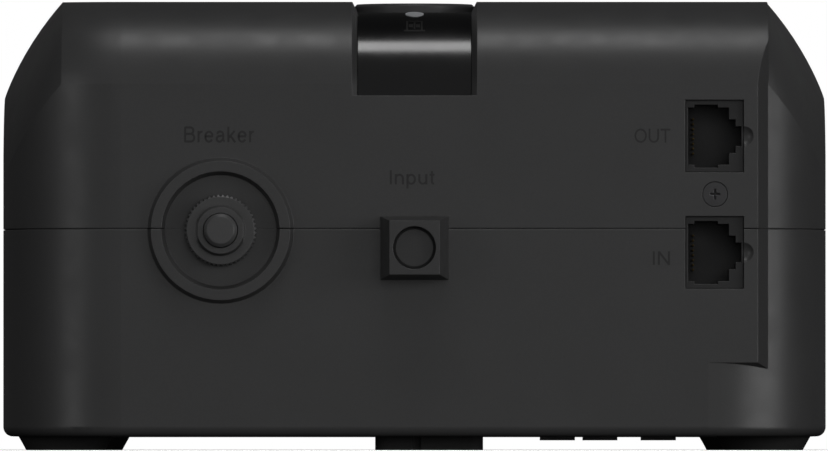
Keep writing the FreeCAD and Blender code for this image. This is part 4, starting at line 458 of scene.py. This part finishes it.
def floor():
    """A pale floor with a faint glow. It catches shadows, but its light doesn't reach the object."""
    size = 6.0
    mesh = bpy.data.meshes.new("floor")
    corners = [(-size, -size, 0), (size, -size, 0), (size, size, 0), (-size, size, 0)]
    mesh.from_pydata(corners, [], [(0, 1, 2, 3)])
    item = bpy.data.objects.new("floor", mesh)
    bpy.context.scene.collection.objects.link(item)
    made = Shader("floor_paper", (0.80, 0.80, 0.80), 0.9, Emission_Color=(1, 1, 1, 1), Emission_Strength=0.45)
    made.tinted(made.ranged(made.noise(0.4, 3), 0.3, 0.7, 0.0, 0.5), (0.78, 0.78, 0.78))
    paint(made, item)
    item.visible_diffuse = item.visible_glossy = item.visible_transmission = False


FRONT_END, BACK_END = (0, -0.13, 0.06), (0, 0.13, 0.05)      # where the lamps aim


def lamp(name, azimuth, elevation, distance, size, radiance, target=FRONT_END, gloss=True):
    """A softbox at an azimuth (0 in front, 90 to the right) and an elevation in degrees from its target.

    Without gloss it lights surfaces but isn't mirrored in them."""
    side, up = math.radians(azimuth), math.radians(elevation)
    outward = Vector((math.sin(side) * math.cos(up), -math.cos(side) * math.cos(up), math.sin(up)))
    data = bpy.data.lights.new(name, "AREA")
    data.shape = "RECTANGLE"
    data.size, data.size_y = size
    data.energy = radiance * math.pi * size[0] * size[1]
    item = bpy.data.objects.new(name, data)
    bpy.context.scene.collection.objects.link(item)
    item.location = Vector(target) + outward * distance
    item.rotation_euler = (-outward).to_track_quat("-Z", "Y").to_euler()
    item.visible_glossy = gloss


def studio():
    """A dim sky, brighter in front, which the camera alone sees as a white backdrop, and six lamps."""
    world = bpy.data.worlds.new("studio")
    bpy.context.scene.world = world
    world.use_nodes = True
    tree = world.node_tree
    background = tree.nodes["Background"]
    background.inputs["Color"].default_value = (1, 1, 1, 1)
    split = tree.nodes.new("ShaderNodeSeparateXYZ")
    tree.links.new(tree.nodes.new("ShaderNodeTexCoord").outputs["Generated"], split.inputs["Vector"])

    def ranged(value, low, high, to_low, to_high):
        made = tree.nodes.new("ShaderNodeMapRange")
        made.interpolation_type = "SMOOTHSTEP"
        for socket, number in zip(("From Min", "From Max", "To Min", "To Max"), (low, high, to_low, to_high)):
            made.inputs[socket].default_value = number
        tree.links.new(value, made.inputs["Value"])
        return made.outputs["Result"]

    def times(one, two):
        made = tree.nodes.new("ShaderNodeMath")
        made.operation = "MULTIPLY"
        tree.links.new(one, made.inputs[0])
        tree.links.new(two, made.inputs[1])
        return made.outputs["Value"]

    # strength by direction: strongest in front, and weaker below the horizon
    front = ranged(split.outputs["Y"], -0.9, 0.3, 0.13, 0.02)
    above = ranged(split.outputs["Z"], -0.25, 0.05, 0.2, 1.0)
    light = times(front, above)
    seen = tree.nodes.new("ShaderNodeMix")
    tree.links.new(tree.nodes.new("ShaderNodeLightPath").outputs["Is Camera Ray"], seen.inputs["Factor"])
    tree.links.new(light, seen.inputs["A"])
    seen.inputs["B"].default_value = 1.0
    tree.links.new(seen.outputs["Result"], background.inputs["Strength"])
    # name, azimuth, elevation, distance, size, radiance
    lamp("top_box", 8, 73, 1.0, (0.5, 0.27), 4.6)
    lamp("right_box", 56, 2, 1.6, (1.05, 0.9), 2.3)
    lamp("left_box", -50, 5, 1.8, (0.6, 0.9), 1.25)
    lamp("front_fill", 10, 3, 1.8, (0.9, 0.9), 4.6, gloss=False)
    lamp("back_right_fill", 138, 24, 1.8, (0.9, 0.9), 6.5, BACK_END, gloss=False)
    lamp("back_left_fill", -138, 24, 1.8, (0.9, 0.9), 5.5, BACK_END, gloss=False)


def camera():
    """A long lens just above the floor, aimed at the middle of the end face."""
    data = bpy.data.cameras.new("camera")
    data.lens, data.sensor_width = 850, 36
    data.clip_start, data.clip_end = 0.1, 60
    item = bpy.data.objects.new("camera", data)
    bpy.context.scene.collection.objects.link(item)
    middle_x, middle_z = -0.1 * MM, 46.7 * MM             # the picture's middle on the end face
    eye_z = 0.3 * MM
    scale_y = FRONT + 12 * MM                             # where the picture is exactly PICTURE_WIDE wide
    distance = PICTURE_WIDE * data.lens / data.sensor_width
    item.location = (middle_x, scale_y - distance, eye_z)
    aim = Vector((middle_x, FRONT, middle_z)) - item.location
    item.rotation_euler = aim.to_track_quat("-Z", "Y").to_euler()
    bpy.context.scene.camera = item


floor()
studio()
camera()
bpy.context.scene.view_settings.view_transform = "Standard"
